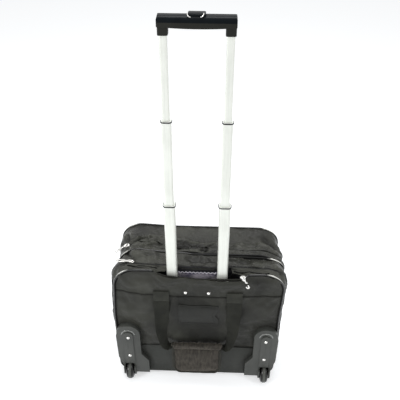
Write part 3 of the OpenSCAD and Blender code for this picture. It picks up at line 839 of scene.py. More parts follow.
def seen_directly(tree):
    """1 for camera, glossy and transmission rays, 0 for the rest."""
    path = put(tree, "LightPath")
    seen = maths(tree, "MAXIMUM", path.outputs["Is Camera Ray"], path.outputs["Is Glossy Ray"])
    return maths(tree, "MAXIMUM", seen, path.outputs["Is Transmission Ray"])


def make_world():
    world = bpy.data.worlds.new("studio")
    bpy.context.scene.world = world
    world.use_nodes = True
    tree = world.node_tree
    level = put(tree, "MapRange", Value=seen_directly(tree), in3=AMBIENT, in4=1.0)
    tree.nodes["Background"].inputs["Color"].default_value = (1, 1, 1, 1)
    tree.links.new(level.outputs[0], tree.nodes["Background"].inputs["Strength"])


def make_floor():
    bpy.ops.mesh.primitive_plane_add(size=8, location=(0, 0, 0))
    floor = settle(bpy.context.object, "floor")
    material, tree, shader = new_material("floor_paper", 0.95, specular=0.0)
    shader.inputs["Base Color"].default_value = FLOOR_COLOUR
    strength = maths(tree, "MULTIPLY", seen_directly(tree), FLOOR_GLOW)
    glow = put(tree, "Emission", Color=(1, 1, 1, 1), Strength=strength)
    both = put(tree, "AddShader", in0=shader.outputs[0], in1=glow.outputs[0])
    tree.links.new(both.outputs[0], tree.nodes["Material Output"].inputs["Surface"])
    floor.data.materials.append(material)


def area_light(name, place, aim, size, power):
    bpy.ops.object.light_add(type="AREA", location=place)
    lamp = bpy.context.object
    lamp.name = name
    lamp.data.shape = "RECTANGLE"
    lamp.data.size, lamp.data.size_y = size
    lamp.data.energy = power
    lamp.rotation_euler = (Vector(place) - Vector(aim)).to_track_quat("Z", "Y").to_euler()


make_world()
make_floor()
area_light("top_box", (0, 0.3, 2.4), (0, 0, 0.3), (1.2, 0.8), 26)
area_light("left_box", (-1.5, -1.15, 1.15), (0, 0, 0.3), (0.3, 1.1), 15)
area_light("right_box", (1.5, -0.9, 1.5), (0, 0, 0.3), (0.25, 1.1), 7)
bpy.context.scene.view_settings.view_transform = "Standard"

# ------------------------------------------------------------------ the case's cloth

LEAF_SEAM = zip_front + 31 * MM
RAIL_X = 60 * MM
RIVET_X, RIVET_Z = 28 * MM, 319 * MM
# Where the tabs hold the panels' cloth: their middle and half their size, in x and in height
TAB_HOLD_X, TAB_HOLD_Z = (87 * MM, 19 * MM), (309 * MM, 17 * MM)
# How far below the top the rear pocket's mouth and the main flap are cut out of the cloth
MOUTH_CUT, FLAP_CUT = 9 * MM, 34 * MM


def stand(p):
    """How the soft case stands: its upper part leans a little to +X, and its lower left is full."""
    up = smoothstep((p.z - 0.22) / 0.14)
    low_left = smoothstep((-p.x - 0.1) / 0.08) * (1 - up)
    return Vector((p.x + 4.5 * MM * up - 2.5 * MM * low_left, p.y, p.z))


# How far the top has slumped, by x: at the back panel's edge, where the rear pocket's mouth pulls it
# down, at the main zip, and from the middle piping to the front compartment
EDGE_DIP = ((-150, -5), (-118, -5), (-107, -4), (-99, 6), (-79, 14), (-45, 18), (-5, 21.5), (50, 21.5),
    (78, 20), (101, 18), (109, 9), (116, 2), (150, 0))
ZIP_DIP = ((-165, 0), (-140, 3), (-75, 4), (-50, 8), (0, 9), (45, 8), (66, 4), (100, 4), (150, 8.5),
    (190, 9), (207, 6))
TOP_DIP = ((-205, 0), (-150, -4), (-120, -1), (-95, 2), (-45, 5), (-10, 8.5), (15, 10.5), (50, 12),
    (75, 15), (130, 16), (170, 18), (207, 13))
# How far the mouth's far edge, and the furrow that carries it on to both sides, lie from the panel
FAR_EDGE = ((-101.5, 0), (-101, 2), (-94, 9), (-84, 13), (-79, 16), (-76, 29), (-42, 29.5), (40, 29.5),
    (76, 29), (79, 17), (84, 15), (98, 12), (108, 5), (108.5, 0))
FURROW = ((-170, 17), (-92, 19), (66, 23), (80, 21), (100, 17), (140, 11), (172, 8))
# The slit behind the middle piping, in mm from the panel
SLIT_DEPTH = (middle_piping - back) / MM + 3.2
MIDDLE_SLIT = ((-70, SLIT_DEPTH), (160, SLIT_DEPTH))


def slump(p):
    """The empty case's top slumps between its corners."""
    up = smoothstep((p.z - (case_top - 70 * MM)) / (70 * MM))
    zip_share = smoothstep((p.y - back) / (zip_main - back))
    top_share = smoothstep((p.y - zip_main) / (middle_piping - zip_main))
    leaf_share = smoothstep((p.y - LEAF_SEAM) / (38 * MM))
    edge, at_zip, top = (graded(t, p.x) for t in (EDGE_DIP, ZIP_DIP, TOP_DIP))
    dip = edge + (at_zip - edge) * zip_share
    dip += (top - dip) * top_share
    return Vector((p.x, p.y, p.z - dip * up * (1 - leaf_share)))


def trimmed(p):
    """Draws the cloth's cut cells out to the mouth's far edge."""
    edge = graded(FAR_EDGE, p.x)
    cut = edge > 0 and p.z > case_top - MOUTH_CUT and abs(p.y - back - edge) < 1.8 * MM
    return Vector((p.x, back + edge, p.z)) if cut else p


def grooved(p):
    """The furrow beside the back panel's piping, along the top."""
    off = (p.y - back - graded(FURROW, p.x)) / (2.6 * MM)
    ends = 1 - smoothstep((abs(p.x) - 155 * MM) / (20 * MM))
    return Vector((p.x, p.y, p.z - 3.5 * MM * exp(-off ** 2) * ends * (p.z > case_top - 30 * MM)))


def leaf_fullness(p):
    """The front compartment is fuller than its zip: wider, and higher on the left."""
    ahead = smoothstep((p.y - zip_front) / (36 * MM))
    higher = smoothstep((-p.x - 0.06) / 0.1) * smoothstep((p.z - 0.3) / 0.08)
    wider = 1 + (0.046 if p.x < 0 else 0.012) * ahead
    return Vector((p.x * wider, p.y, p.z + 5 * MM * higher * ahead))


def full_right(p):
    """On the right the cloth bulges between the middle piping and the front compartment."""
    near_piping = smoothstep((p.y - middle_piping) / (12 * MM))
    fading = 1 - smoothstep((p.y - 40 * MM) / (38 * MM))
    right = smoothstep((p.x - 0.05) / 0.1) * smoothstep((p.z - 0.15) / 0.12)
    return Vector((p.x + 7 * MM * near_piping * fading * right, p.y, p.z))


def pulled_in(p):
    """The middle piping is pulled in at the upper left corner."""
    by = smoothstep((-p.x - 150 * MM) / (45 * MM)) * smoothstep((p.z - 0.31) / 0.05)
    close = exp(-((p.y - middle_piping) / (22 * MM)) ** 2)
    return Vector((p.x + 5 * MM * by * close, p.y, p.z))


def covered(p):
    """The cloth is full over the front zip and beside the middle piping, so both lie in narrow slits."""
    up = smoothstep((p.z - (case_top - 40 * MM)) / (25 * MM))
    at_zip = exp(-((p.y - zip_front) / (11 * MM)) ** 2)
    at_zip *= smoothstep((p.x + 158 * MM) / (25 * MM)) * smoothstep((200 * MM - p.x) / (30 * MM))
    at_piping = exp(-((p.y - middle_piping) / (9 * MM)) ** 2) * smoothstep((p.x + 20 * MM) / (60 * MM))
    return Vector((p.x, p.y, p.z + up * MM * (5 * at_zip + 3 * at_piping)))


def off_tabs(p):
    """How far a place is from the webbing tabs, and below 0 on them."""
    return min(max(abs(p.x - s * TAB_HOLD_X[0]) - TAB_HOLD_X[1], abs(p.z - TAB_HOLD_Z[0]) - TAB_HOLD_Z[1])
        for s in (-1, 1))


def seam_held(p, depths, low, reach=1.5 * MM):
    """1 where a seam at one of these depths, or the stiff base, holds the cloth."""
    at_seam = min(abs(p.y - d) for d in depths) < reach
    return 1.0 if at_seam or p.z < low + 12 * MM else 0.0


def panel_seam_z(x):
    """Height of the seam across the back panel, which dips towards the middle."""
    return 0.3315 - 0.0225 * cos(7.6 * (x - 0.02))


def hollow(p):
    """The back panel rolls over a little under the mouth, and between the straps it falls in below
    the card pocket."""
    across = smoothstep((78 * MM - abs(p.x - 3 * MM)) / (22 * MM))
    full = exp(-((p.z - 0.262) / 0.035) ** 2)
    fallen = exp(-((p.z - 0.195) / 0.03) ** 2)
    swollen = exp(-((p.z - 0.148) / 0.02) ** 2)
    below = case_top - graded(EDGE_DIP, p.x) - p.z
    roll = exp(-((below - 9 * MM) / (6.5 * MM)) ** 2) * smoothstep((118 * MM - abs(p.x)) / (25 * MM))
    return Vector((p.x, p.y - MM * (across * (2.5 * full - 3.6 * fallen + 4 * swollen) + 3.2 * roll), p.z))


def make_back_panel():
    sheet = panel("back_panel_cloth", back, half_back, case_low, case_top)
    shape(sheet, slump, hollow)
    tremble(sheet, 0.05, 1.5 * MM, 1)
    tremble(sheet, 0.018, 0.5 * MM, 2)

    def held(p):
        rim = min(half_back - abs(p.x), case_top - p.z, p.z - case_low)
        seam = abs(p.z - panel_seam_z(p.x))
        rivets = min(hypot(p.x - s * RIVET_X, p.z - RIVET_Z) for s in (-1, 1))
        firm = max(1 - rim / (9 * MM), 1 - seam / (8 * MM), 1 - rivets / (14 * MM),
            1 - off_tabs(p) / (8 * MM))
        backed = p.z < 0.126 or (abs(p.x) > 144 * MM and p.z < 0.208)
        return 1.0 if backed else min(max(firm, 0.0), 1.0)

    billow(sheet, held, 0.02, 0.9, bend=1.2, cap=6 * MM)
    return shape(sheet, stand)


def make_back_band():
    ahead = zip_main - ZIP_HALF
    strip = band("back_band_cloth", back, ahead, half_back, half_zip - 1 * MM,
        case_low, case_top, case_top - 1 * MM, 3.3 * MM)
    cut_away(strip, lambda c, n: c.z > case_top - MOUTH_CUT and c.y - back < graded(FAR_EDGE, c.x))
    shape(strip, trimmed, grooved, slump)
    tremble(strip, 0.03, 0.8 * MM, 3)
    billow(strip, lambda p: 1.0 if seam_held(p, (back, ahead), case_low)
        or (MOUTH[0] - 9 * MM < p.x < MOUTH[1] + 9 * MM and p.z > 0.3) else 0.0,
        0.05, 2.5, bend=0.4, cap=6 * MM)
    return shape(strip, stand)


def make_main_band():
    rear = zip_main + ZIP_HALF
    strip = band("main_band_cloth", rear, middle_piping, half_zip - 1 * MM, half_piping,
        case_low, case_top - 1 * MM, case_top)
    shape(strip, slump, pulled_in)
    tremble(strip, 0.04, 1.8 * MM, 5)
    tremble(strip, 0.015, 0.6 * MM, 6)
    billow(strip, lambda p: seam_held(p, (rear, middle_piping), case_low), 0.08, 2.2, bend=0.3, cap=9 * MM)
    return shape(strip, covered, stand)


def make_rim_band():
    ahead = zip_front - FRONT_ZIP_HALF
    strip = band("rim_band_cloth", middle_piping, ahead, half_piping, half_front,
        case_low, case_top, case_top - 1 * MM, 4.6 * MM)
    shape(strip, slump, pulled_in, full_right)
    tremble(strip, 0.03, 1.0 * MM, 7)
    billow(strip, lambda p: seam_held(p, (ahead, middle_piping), case_low), 0.08, 2.0, bend=0.3, cap=7 * MM)
    return shape(strip, covered, stand)


def make_leaf_band():
    rear = zip_front + FRONT_ZIP_HALF
    strip = band("leaf_band_cloth", rear, leaf_front, half_front, half_leaf,
        leaf_low, case_top - 1 * MM, leaf_top, 4.6 * MM)
    shape(strip, slump, leaf_fullness, full_right)
    tremble(strip, 0.035, 1.6 * MM, 8)
    tremble(strip, 0.014, 0.5 * MM, 9)
    billow(strip, lambda p: seam_held(p, (rear, LEAF_SEAM, leaf_front), leaf_low, 2 * MM),
        0.1, 2.4, bend=0.3, cap=9 * MM, loose=lambda p: 1.0 if p.y < LEAF_SEAM else 0.2)
    return shape(strip, covered, stand)


def make_front_panel():
    sheet = panel("front_panel_cloth", leaf_front, half_leaf, leaf_low, leaf_top)
    shape(flipped(sheet), leaf_fullness)
    tremble(sheet, 0.06, 1.5 * MM, 11)

    def held(p):
        rim = min(half_leaf + 2 * MM - abs(p.x), leaf_top - p.z, p.z - leaf_low)
        return min(max(1 - rim / (8 * MM), 1 - off_tabs(p) / (8 * MM), 0.0), 1.0)

    billow(sheet, held, 0.015, 0.9, bend=1.5, cap=4 * MM)
    return shape(sheet, stand)


def on_top(low_y, high_y, x0=-1.0, x1=1.0):
    """Where creases lie: the upper part of the case between two depths, fading at the seams."""
    def where(p):
        up = smoothstep((p.z - (case_top - 75 * MM)) / (50 * MM))
        inside = smoothstep((p.y - low_y) / (7 * MM)) * smoothstep((high_y - p.y) / (7 * MM))
        between_x = smoothstep((p.x - x0) / (25 * MM)) * smoothstep((x1 - p.x) / (25 * MM))
        return up * inside * between_x
    return where


back_panel = make_back_panel()
cloth_wall(back_panel, 3 * MM)
dress(back_panel, panel_nylon, "case", "back_panel", slot="case_fabric")
back_band = make_back_band()
cloth_wall(back_band)
dress(back_band, nylon, "case", "back_gusset", slot="case_fabric")
main_band = make_main_band()
choose(main_band, "FACE", lambda c, n: abs(c.x) < flap_half and c.z > case_top - FLAP_CUT and n.z > 0.4)
main_flap = split_off(main_band, "main_flap_cloth")
# The top's folds and facets, in mm; they also paint highlight on their ridges and shade in their hollows and
# facets
MAIN_FOLDS = ((-175, -13, -165, -29, 2.8, -4.5), (-165, -29, -153, -44, 2.8, -4.5),
    (-152, -27, -138, -27, 12, 4), (-130, -32, -84, -28, 2.8, 2.2), (-140, -43, -84, -38, 2.8, 2.2),
    (138, -36, 150, -36, 10, 4), (186, -34, 190, -44, 5, 4), (60, -38, 150, -52, 3, 3.5))
MAIN_FACETS = ((8, -27, 34, 9, 0, 4, 0.6), (104, -40, 9, 7, 0.4, 4, 0.8), (168, -47, 8, 6, 0, 4, 0.8),
    (-112, -24, 26, 5, -0.2, 4, 0.7))
LEAF_FOLDS = ((-94, 45, -53, 36, 4.5, 3), (-53, 36, -12, 34, 4.5, 3), (-12, 34, 40, 36, 4.5, 3),
    (-37, 27, -36, 13, 2, 3), (40, 36, 112, 42, 6, 2.5), (-60, 1, -20, -3, 4.5, 3),
    (-20, -3, 40, -4, 4.5, 3),
    (-112, 3, -80, 0, 2.4, -4), (-170, 21, -150, 30, 3.2, 4), (-150, 30, -123, 37, 3.2, 5),
    (-123, 37, -94, 45, 4, 4), (-160, 4, -130, 28, 2.8, 5), (-146, -1, -104, 28, 2.8, 5),
    (-138, 2, -98, 18, 2.8, 5), (-157, 18, -128, 34, 2.6, -5), (-134, 8, -100, 26, 2.6, -5),
    (-122, 5, -92, 13, 2.6, -4), (-190, 66, -186, 44, 5, 5), (-174, 60, -168, 33, 4.5, 5),
    (-181, 48, -176, 30, 3.5, -5), (95, 30, 150, 22, 5, 3), (90, 18, 140, 10, 4, -3),
    (150, 45, 195, 20, 6, 5), (165, 60, 197, 45, 5, -5), (-6, 31, -27, 5, 1.8, 4), (27, 29, 11, 4, 1.8, 4),
    (-60, 32, 40, 33, 2.6, 2.5))
LEAF_FACETS = ((-47, 19, 24, 13, 0.65, 8, 0.9), (-9, 18, 17, 12, 0.65, 8, 0.9),
    (15, 11, 8.5, 9, 0.5, 7, 0.8),
    (28, 23, 5, 5.5, 0.3, 4, 0.8), (36, 3, 7, 7, 0.3, 3, 0.6))


main_creases = ((0.07, 0.012, -6, 0.9 * MM, 3, on_top(zip_main + 6 * MM, middle_piping)),
    (0.03, 0.012, 38, 1.2 * MM, 4, on_top(zip_main + 6 * MM, middle_piping, 0.13)))
for cloth in (main_band, main_flap):
    cloth_wall(cloth, creases=main_creases, folds=MAIN_FOLDS, facets=MAIN_FACETS)
dress(main_band, nylon_top, "case", "main_gusset", slot="case_fabric")
dress(main_flap, nylon_top, ("case", "main_flap", (0, middle_piping, case_top),
    (0, middle_piping - 15 * MM, case_top)), "main_flap", slot="case_fabric")
rim_band = make_rim_band()
cloth_wall(rim_band, creases=((0.05, 0.012, 8, 0.8 * MM, 6, on_top(middle_piping, zip_front)),),
    folds=LEAF_FOLDS, facets=LEAF_FACETS)
dress(rim_band, nylon_top, "case", slot="case_fabric")
leaf_band = make_leaf_band()
cloth_wall(leaf_band, creases=(
    (0.1, 0.009, -3, 0.9 * MM, 1, on_top(LEAF_SEAM - 8 * MM, leaf_front, -0.15, 0.1)),
    (0.05, 0.014, -22, 1.8 * MM, 5, on_top(zip_front + ZIP_HALF, LEAF_SEAM + 20 * MM, 0.1)),
    (0.04, 0.016, 60, 0.8 * MM, 8, on_top(LEAF_SEAM - 6 * MM, leaf_front - 8 * MM, -1, -0.12))),
    folds=LEAF_FOLDS, facets=LEAF_FACETS)
dress(leaf_band, nylon_top, "front_leaf", "front_gusset", slot="case_fabric")
front_panel = make_front_panel()
cloth_wall(front_panel, 3 * MM)
dress(front_panel, nylon, "front_leaf", "front_panel", slot="panel_fabric")

# ------------------------------------------------------------------ pipings and zips

def ring_at(piece, name, depth, test=None):
    """The edges of a strip that lie at one depth, as a curve."""
    return path_from(piece, name, lambda c, d: near(c.y, depth, 0.4 * MM) and abs(d.y) < 0.2 * MM
        and (test is None or test(c)))


def beside_mouth(c):
    return not (MOUTH[0] - 4 * MM < c.x < MOUTH[1] + 6 * MM and c.z > case_top - 35 * MM)


def highlight_corners(cord, half, high):
    """The piping's upper corners get a painted highlight along their top, where they would catch the light.
    """
    def painted_highlight(v):
        beside = smoothstep((abs(v.co.x) - half + 40 * MM) / (10 * MM))
        above = smoothstep((v.co.z - high + 40 * MM) / (12 * MM))
        return beside * above * smoothstep((v.normal.z - 0.35) / 0.4)

    keep_painted_light(cord, painted_highlight)
    return cord


def ring_cord(name, half, depth, low, high, rules, test, radius, sides=3):
    """A cord right round the case at one depth."""
    strip = band(name + "_guide", depth - 3 * MM, depth, half, half, low, high, high)
    shape(strip, *rules)
    cord = round_cord(ring_at(strip, name + "_path", depth, test), name, radius, sides)
    drop(strip)
    return cord


def piping(name, half, depth, low, high, body, *rules, test=None):
    """A piping along the seam at one depth."""
    cord = ring_cord(name, half, depth, low, high, rules, test, PIPING_R)
    dress(highlight_corners(cord, half, high), piping_vinyl, body, slot="case_fabric")


def seam_shadow_line(name, half, depth, low, high, body, *rules):
    """A dark cord beside a piping: painted shadow in the crevice of its seam."""
    line = ring_cord(name, half, depth, low, high, rules, beside_mouth, 1.3 * MM, 2)
    dress(line, shadow_black, body, slot="case_fabric")


def line_on_top(name, cloth, table, x0, x1, radius=1.5 * MM, lift=0.6 * MM):
    """A dark cord of painted shadow on the top's cloth, from one x to another, at the depths that a table
    gives.
    """
    tree = tree_of(cloth)
    points = []
    for k in range(LINE_PLACES):
        x = x0 + (x1 - x0) * k / (LINE_PLACES - 1)
        over = Vector((x, back + graded(table, x), case_top + 50 * MM))
        met = tree.ray_cast(over, Vector((0, 0, -1)))[0]
        if met:
            points.append(met + Vector((0, 0, lift)))
    line = round_cord(path_through(name + "_path", points), name, radius, 2)
    dress(line, shadow_black, "case", slot="case_fabric")


# How far a zip lies inside the outline of its cloth, and its coils' middle from the zip's edge
RECESS = 1.6 * MM
COIL_OFF = 1.1 * MM
# How many places a line on the top is drawn through
LINE_PLACES = 13


def coil_bead():
    """One turn of a zip's coil, lying along X."""
    bpy.ops.mesh.primitive_cylinder_add(vertices=8, radius=1.35 * MM, depth=1.2 * MM,
        rotation=(0, pi / 2, 0))
    bead = settle(bpy.context.object, "coil_bead")
    return smooth(finish_with(bead, "BEVEL", width=0.35 * MM, segments=1, limit_method="ANGLE"))


def zip_half(name, depth, side, half, top, body, *rules, within=None):
    """One side of a zip: its tape and its row of coils. side is -1 for the rear one."""
    low = case_low if body == "case" else leaf_low
    ends = sorted((depth + side * 0.2 * MM, depth + side * (ZIP_HALF + 4 * MM)))
    strip = band(name + "_tape", *ends, half, half, low, top, top)
    shape(strip, *rules)
    if within:
        cut_away(strip, lambda c, n: not within(c))
    path = ring_at(strip, name + "_path", ends[0] if side > 0 else ends[1],
        lambda c: c.z > leaf_low + 60 * MM)
    for spline in path.data.splines:
        for b in spline.points if spline.type == "POLY" else spline.bezier_points:
            b.co.y += side * COIL_OFF
    row = row_along(path, name + "_coil", bead, 1.75 * MM)
    drop(path)
    finish_with(strip, "SOLIDIFY", thickness=0.8 * MM, offset=-1.0)
    dress(smooth(strip), zip_tape, body, slot="case_fabric")
    dress(smooth(row), coil_nylon, body, slot="frame_plastic")


bead = coil_bead()
piping("rear_piping", half_back + 1 * MM, back - 0.8 * MM, case_low, case_top + 1 * MM, "case",
    slump, stand, test=beside_mouth)
piping("middle_piping", half_piping + 1.5 * MM, middle_piping, case_low, case_top + 1.5 * MM,
    "case", slump, pulled_in, covered, stand)
piping("front_piping", half_leaf + 1 * MM, leaf_front + 0.8 * MM, leaf_low, leaf_top + 1 * MM,
    "front_leaf", leaf_fullness, stand)


# Painted shadow in the crevices beside the rear and middle pipings
seam_shadow_line("rear_seam", half_back - 2 * MM, back - 1.2 * MM, case_low + 3 * MM, case_top - 2 * MM,
    "case", slump, stand)
seam_shadow_line("middle_seam", half_piping - 0.5 * MM, middle_piping - 3 * MM, case_low, case_top - 0.5 * MM,
    "case", slump, pulled_in, covered, stand)
# Painted shadow along the furrows beside the back piping, and in the slit behind the middle piping
line_on_top("furrow_left", back_band, FURROW, -166 * MM, -96 * MM)
line_on_top("furrow_right", back_band, FURROW, 80 * MM, 170 * MM)
line_on_top("middle_slit", rim_band, MIDDLE_SLIT, -60 * MM, 105 * MM, 1.9 * MM, 1.0 * MM)


def clear_of_tubes(c):
    """The main zip's tape is cut back beside the pull handle's tubes."""
    return c.y > zip_main - 3.2 * MM or c.z < case_top - 40 * MM or abs(abs(c.x) - RAIL_X) > 21 * MM


def over_flap(c):
    return abs(c.x) < flap_half + 3 * MM and c.z > case_top - FLAP_CUT


zip_half("main_zip_rear", zip_main, -1, half_zip - RECESS, case_top - RECESS, "case", slump, stand,
    within=clear_of_tubes)
zip_half("main_zip_sides", zip_main, 1, half_zip - RECESS, case_top - RECESS, "case", slump, stand,
    within=lambda c: not over_flap(c))
zip_half("main_zip_flap", zip_main, 1, half_zip - RECESS, case_top - RECESS, "main_flap", slump, stand,
    within=over_flap)
zip_half("front_zip_rear", zip_front, -1, half_front - RECESS, case_top - RECESS, "case", slump, stand)
zip_half("front_zip_leaf", zip_front, 1, half_front - RECESS, case_top - RECESS, "front_leaf", slump, stand)
drop(bead)

# ------------------------------------------------------------------ moulded and metal pieces

def refined(node, material, bevel=0.0, slot=None, weave=False, segments=2):
    """A CAD node's shape with its edges rounded over, standing for the node."""
    source = nodes[node]
    piece = source.copy()
    piece.data = source.data.copy()
    for key in list(piece.keys()):
        del piece[key]
    piece.parent = None
    piece.name = node + "_finished"
    bpy.context.scene.collection.objects.link(piece)
    choose_all(piece)
    bpy.ops.mesh.remove_doubles(threshold=0.01 * MM)
    bpy.ops.mesh.dissolve_limited(angle_limit=radians(1))
    closed()
    if bevel:
        finish_with(piece, "BEVEL", width=bevel, segments=segments, limit_method="ANGLE",
            angle_limit=radians(35), harden_normals=False)
    if weave:
        lay_weave(piece)
    smooth(piece, 35)
    return dress(piece, material, source["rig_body"], node, slot=slot)


for node in ("wheel_housing_left", "wheel_housing_right"):
    refined(node, housing_plastic, 1.3 * MM, "housing", segments=3)
refined("grip_body", grip_plastic, 1.2 * MM, "grip_plastic", segments=3)
for node, slot in (("grip_cover", "cover_plastic"), ("grip_button", "button_plastic")):
    refined(node, cover_gloss, 1.0 * MM, slot, segments=3)
for which in ("rear", "main", "front"):
    refined("slider_" + which, zinc, 0.5 * MM, "zinc")
    refined("puller_" + which, zinc, 0.45 * MM, "zinc")
for node in ("foot_left", "foot_right"):
    refined(node, foot_rubber, 1.0 * MM, "foot_rubber")
refined("kick_plate", coated_cloth, 0.8 * MM, "kick", weave=True)


def make_tyre(node):
    """A tyre with a crowned tread between two grooves, and a painted highlight along the pale middle of the
    crown.
    """
    piece = refined(node, tyre_rubber, 0.0, "tyre")
    low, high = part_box(node)
    slice_up(piece, 0, low.x, high.x, 1.6 * MM)
    middle = (low + high) / 2
    half, radius = (high.x - low.x) / 2, (high.z - low.z) / 2

    def across(p):
        return abs(p.x - middle.x) / half

    def outer(p):
        return smoothstep((hypot(p.y - middle.y, p.z - middle.z) - 0.5 * radius) / (0.4 * radius))

    def crowned(p):
        off = Vector((0, p.y - middle.y, p.z - middle.z))
        sunk = 6.5 * MM * across(p) ** 3 + 0.9 * MM * exp(-((across(p) - 0.5) / 0.09) ** 2)
        return p - off.normalized() * (sunk * outer(p))

    shape(piece, crowned)
    # The painted highlight along the middle of the tread
    keep_painted_light(piece, lambda v: (1 - smoothstep((across(v.co) - 0.2) / 0.25)) * outer(v.co))
    smooth(piece, 60)


make_tyre("tyre_left")
make_tyre("tyre_right")

# ------------------------------------------------------------------ carrying handles

STRAP_W = 38 * MM
TAB_X = 89 * MM
TAB_LOW, TAB_HIGH = 297 * MM, 325 * MM
LEAN = Vector((2.4 * MM, 0, 0))
# Height above which a strap leans with its tab, and over how much height the lean grows
LEAN_FROM, LEAN_OVER = 0.18, 0.1
# A strap's stations: length from its tab, x, distance off the panel, height, twist in degrees, width
STRAP_STATIONS = ((0, 89, 3.0, 300, 0, 38), (12, 89, 4.4, 288, 0, 38), (40, 88.5, 7, 260, 4, 38),
    (80, 88, 11, 220, 20, 37), (110, 86.5, 15, 190, 46, 37), (141, 82.5, 19, 160, 64, 34),
    (158, 77.5, 21, 146, 74, 28), (170, 71, 21, 140, 82, 23), (182, 62, 20.4, 144, 86, 17))


def between(stations, s):
    """The values at length s, blended smoothly from one station to the next."""
    for a, b in zip(stations, stations[1:]):
        if s <= b[0] or b is stations[-1]:
            t = min(max((s - a[0]) / (b[0] - a[0]), 0.0), 1.0)
            t = 0.5 * t + 0.5 * smoothstep(t)
            return [p + (q - p) * t for p, q in zip(a, b)]


def make_strap(name):
    """The right strap of the rear handle: flat webbing that turns edge-on towards the wrap."""
    length = STRAP_STATIONS[-1][0] * MM
    bpy.ops.mesh.primitive_grid_add(x_subdivisions=8, y_subdivisions=60, size=1, rotation=(pi / 2, 0, 0))
    bpy.context.object.scale = (STRAP_W, length, 1)
    strap = settle(bpy.context.object, name)
    lay_weave(strap)

    def hang(p):
        _, x, out, z, twist, width = between(STRAP_STATIONS, (length / 2 - p.z) / MM)
        across = p.x / STRAP_W * width * MM
        curl = 1.5 * MM * (2 * p.x / STRAP_W) ** 2 * min(twist / 40, 1)
        turn = radians(twist)
        return Vector((x * MM + across * cos(turn) + curl * sin(turn),
            back - out * MM - across * sin(turn), z * MM))

    shape(strap, hang)
    finish_with(strap, "SOLIDIFY", thickness=1.9 * MM, offset=0.0)
    finish_with(strap, "BEVEL", width=0.5 * MM, segments=2, limit_method="ANGLE")
    shape(strap, lambda p: p + LEAN * smoothstep((p.z - LEAN_FROM) / LEAN_OVER))
    return smooth(strap, 50)


def make_tab(name):
    """The strap's end, sewn flat to the panel in a box of stitches."""
    low = (TAB_X - STRAP_W / 2, back - 4.4 * MM, TAB_LOW)
    high = (TAB_X + STRAP_W / 2, back - 1.2 * MM, TAB_HIGH)
    tab = box(name, low, high)
    slice_up(tab, 0, low[0], high[0], 3 * MM)
    slice_up(tab, 2, low[2], high[2], 3 * MM)
    lay_weave(tab)
    middle = Vector((TAB_X, 0, (low[2] + high[2]) / 2))

    def sewn(p):
        inset = min(STRAP_W / 2 - abs(p.x - TAB_X), (high[2] - low[2]) / 2 - abs(p.z - middle.z))
        groove = exp(-((inset - 4 * MM) / (1.3 * MM)) ** 2)
        edge = 1 - smoothstep(inset / (2 * MM))
        outer = smoothstep((back - 2 * MM - p.y) / MM)
        tilt = 4.5 * MM * (high[2] - p.z) / (high[2] - low[2])
        return Vector((p.x, p.y + outer * MM * (0.7 * groove + 0.5 * edge) - tilt, p.z)) + LEAN

    shape(tab, sewn)
    finish_with(tab, "BEVEL", width=0.5 * MM, segments=2, limit_method="ANGLE", angle_limit=radians(60))
    return smooth(tab, 50)


def stitch_bead():
    """One stitch, lying along X."""
    bpy.ops.mesh.primitive_cylinder_add(vertices=6, radius=0.45 * MM, depth=2.3 * MM,
        rotation=(0, pi / 2, 0))
    made = settle(bpy.context.object, "stitch")
    return smooth(finish_with(made, "BEVEL", width=0.3 * MM, segments=1, limit_method="ANGLE"))


def stitches(name, points, cyclic=False):
    """A row of stitches through some points."""
    path = path_through(name + "_path", points, cyclic)
    for b in path.data.splines[0].bezier_points:
        b.handle_left_type = b.handle_right_type = "VECTOR"
    bead = stitch_bead()
    row = row_along(path, name, bead, 3.4 * MM)
    drop(path, bead)
    return row


def box_of_stitches(name, inset=4 * MM):
    """The stitching on a tab: a box with a cross."""
    x0, x1 = TAB_X - STRAP_W / 2 + inset, TAB_X + STRAP_W / 2 - inset
    z0, z1 = TAB_LOW + inset, TAB_HIGH - inset
    y0, y1 = back - 7.4 * MM, back - 4.0 * MM
    corners = [p + LEAN for p in (Vector((x0, y0, z0)), Vector((x1, y0, z0)), Vector((x1, y1, z1)),
        Vector((x0, y1, z1)))]
    out = Vector((0, -0.45 * MM, 0))
    rows = [stitches(name + "_box", corners, True),
        stitches(name + "_rise", [corners[0] + out, corners[2] + out]),
        stitches(name + "_fall", [corners[1] + out, corners[3] + out])]
    return join(name, rows)


WRAP_HALF = 65 * MM
WRAP_MID = back - 20.4 * MM
WRAP_SEAM = 134 * MM
WRAP_TOP = 158 * MM
WRAP_LOW = 36 * MM
WRAP_CORNER = (22 * MM, 34 * MM)
BINDING_W = 9 * MM
FLAP_INSET, SLEEVE_INSET = 6 * MM, 3 * MM


def soft_block(name, low, high, corner, depth_cap, puff, slack, seed, voxel=3.5 * MM):
    """A padded block with rounded lower corners, remeshed and let to swell."""
    pad = box(name, low, high)
    slice_up(pad, 2, low[2], high[2], 4 * MM)

    def rounded(p):
        up = min(1.0, (p.z - low[2]) / corner[1])
        return Vector((p.x - copysign(corner[0] * (1 - sqrt(max(0.0, 1 - (1 - up) ** 2))), p.x), p.y, p.z))

    shape(pad, rounded)
    finish_with(pad, "REMESH", mode="VOXEL", voxel_size=voxel)
    tremble(pad, 0.016, 1.0 * MM, seed)
    billow(pad, lambda p: 0.0, slack, puff, bend=0.6, cap=depth_cap)
    rounder(pad)
    return smooth(pad, 180)


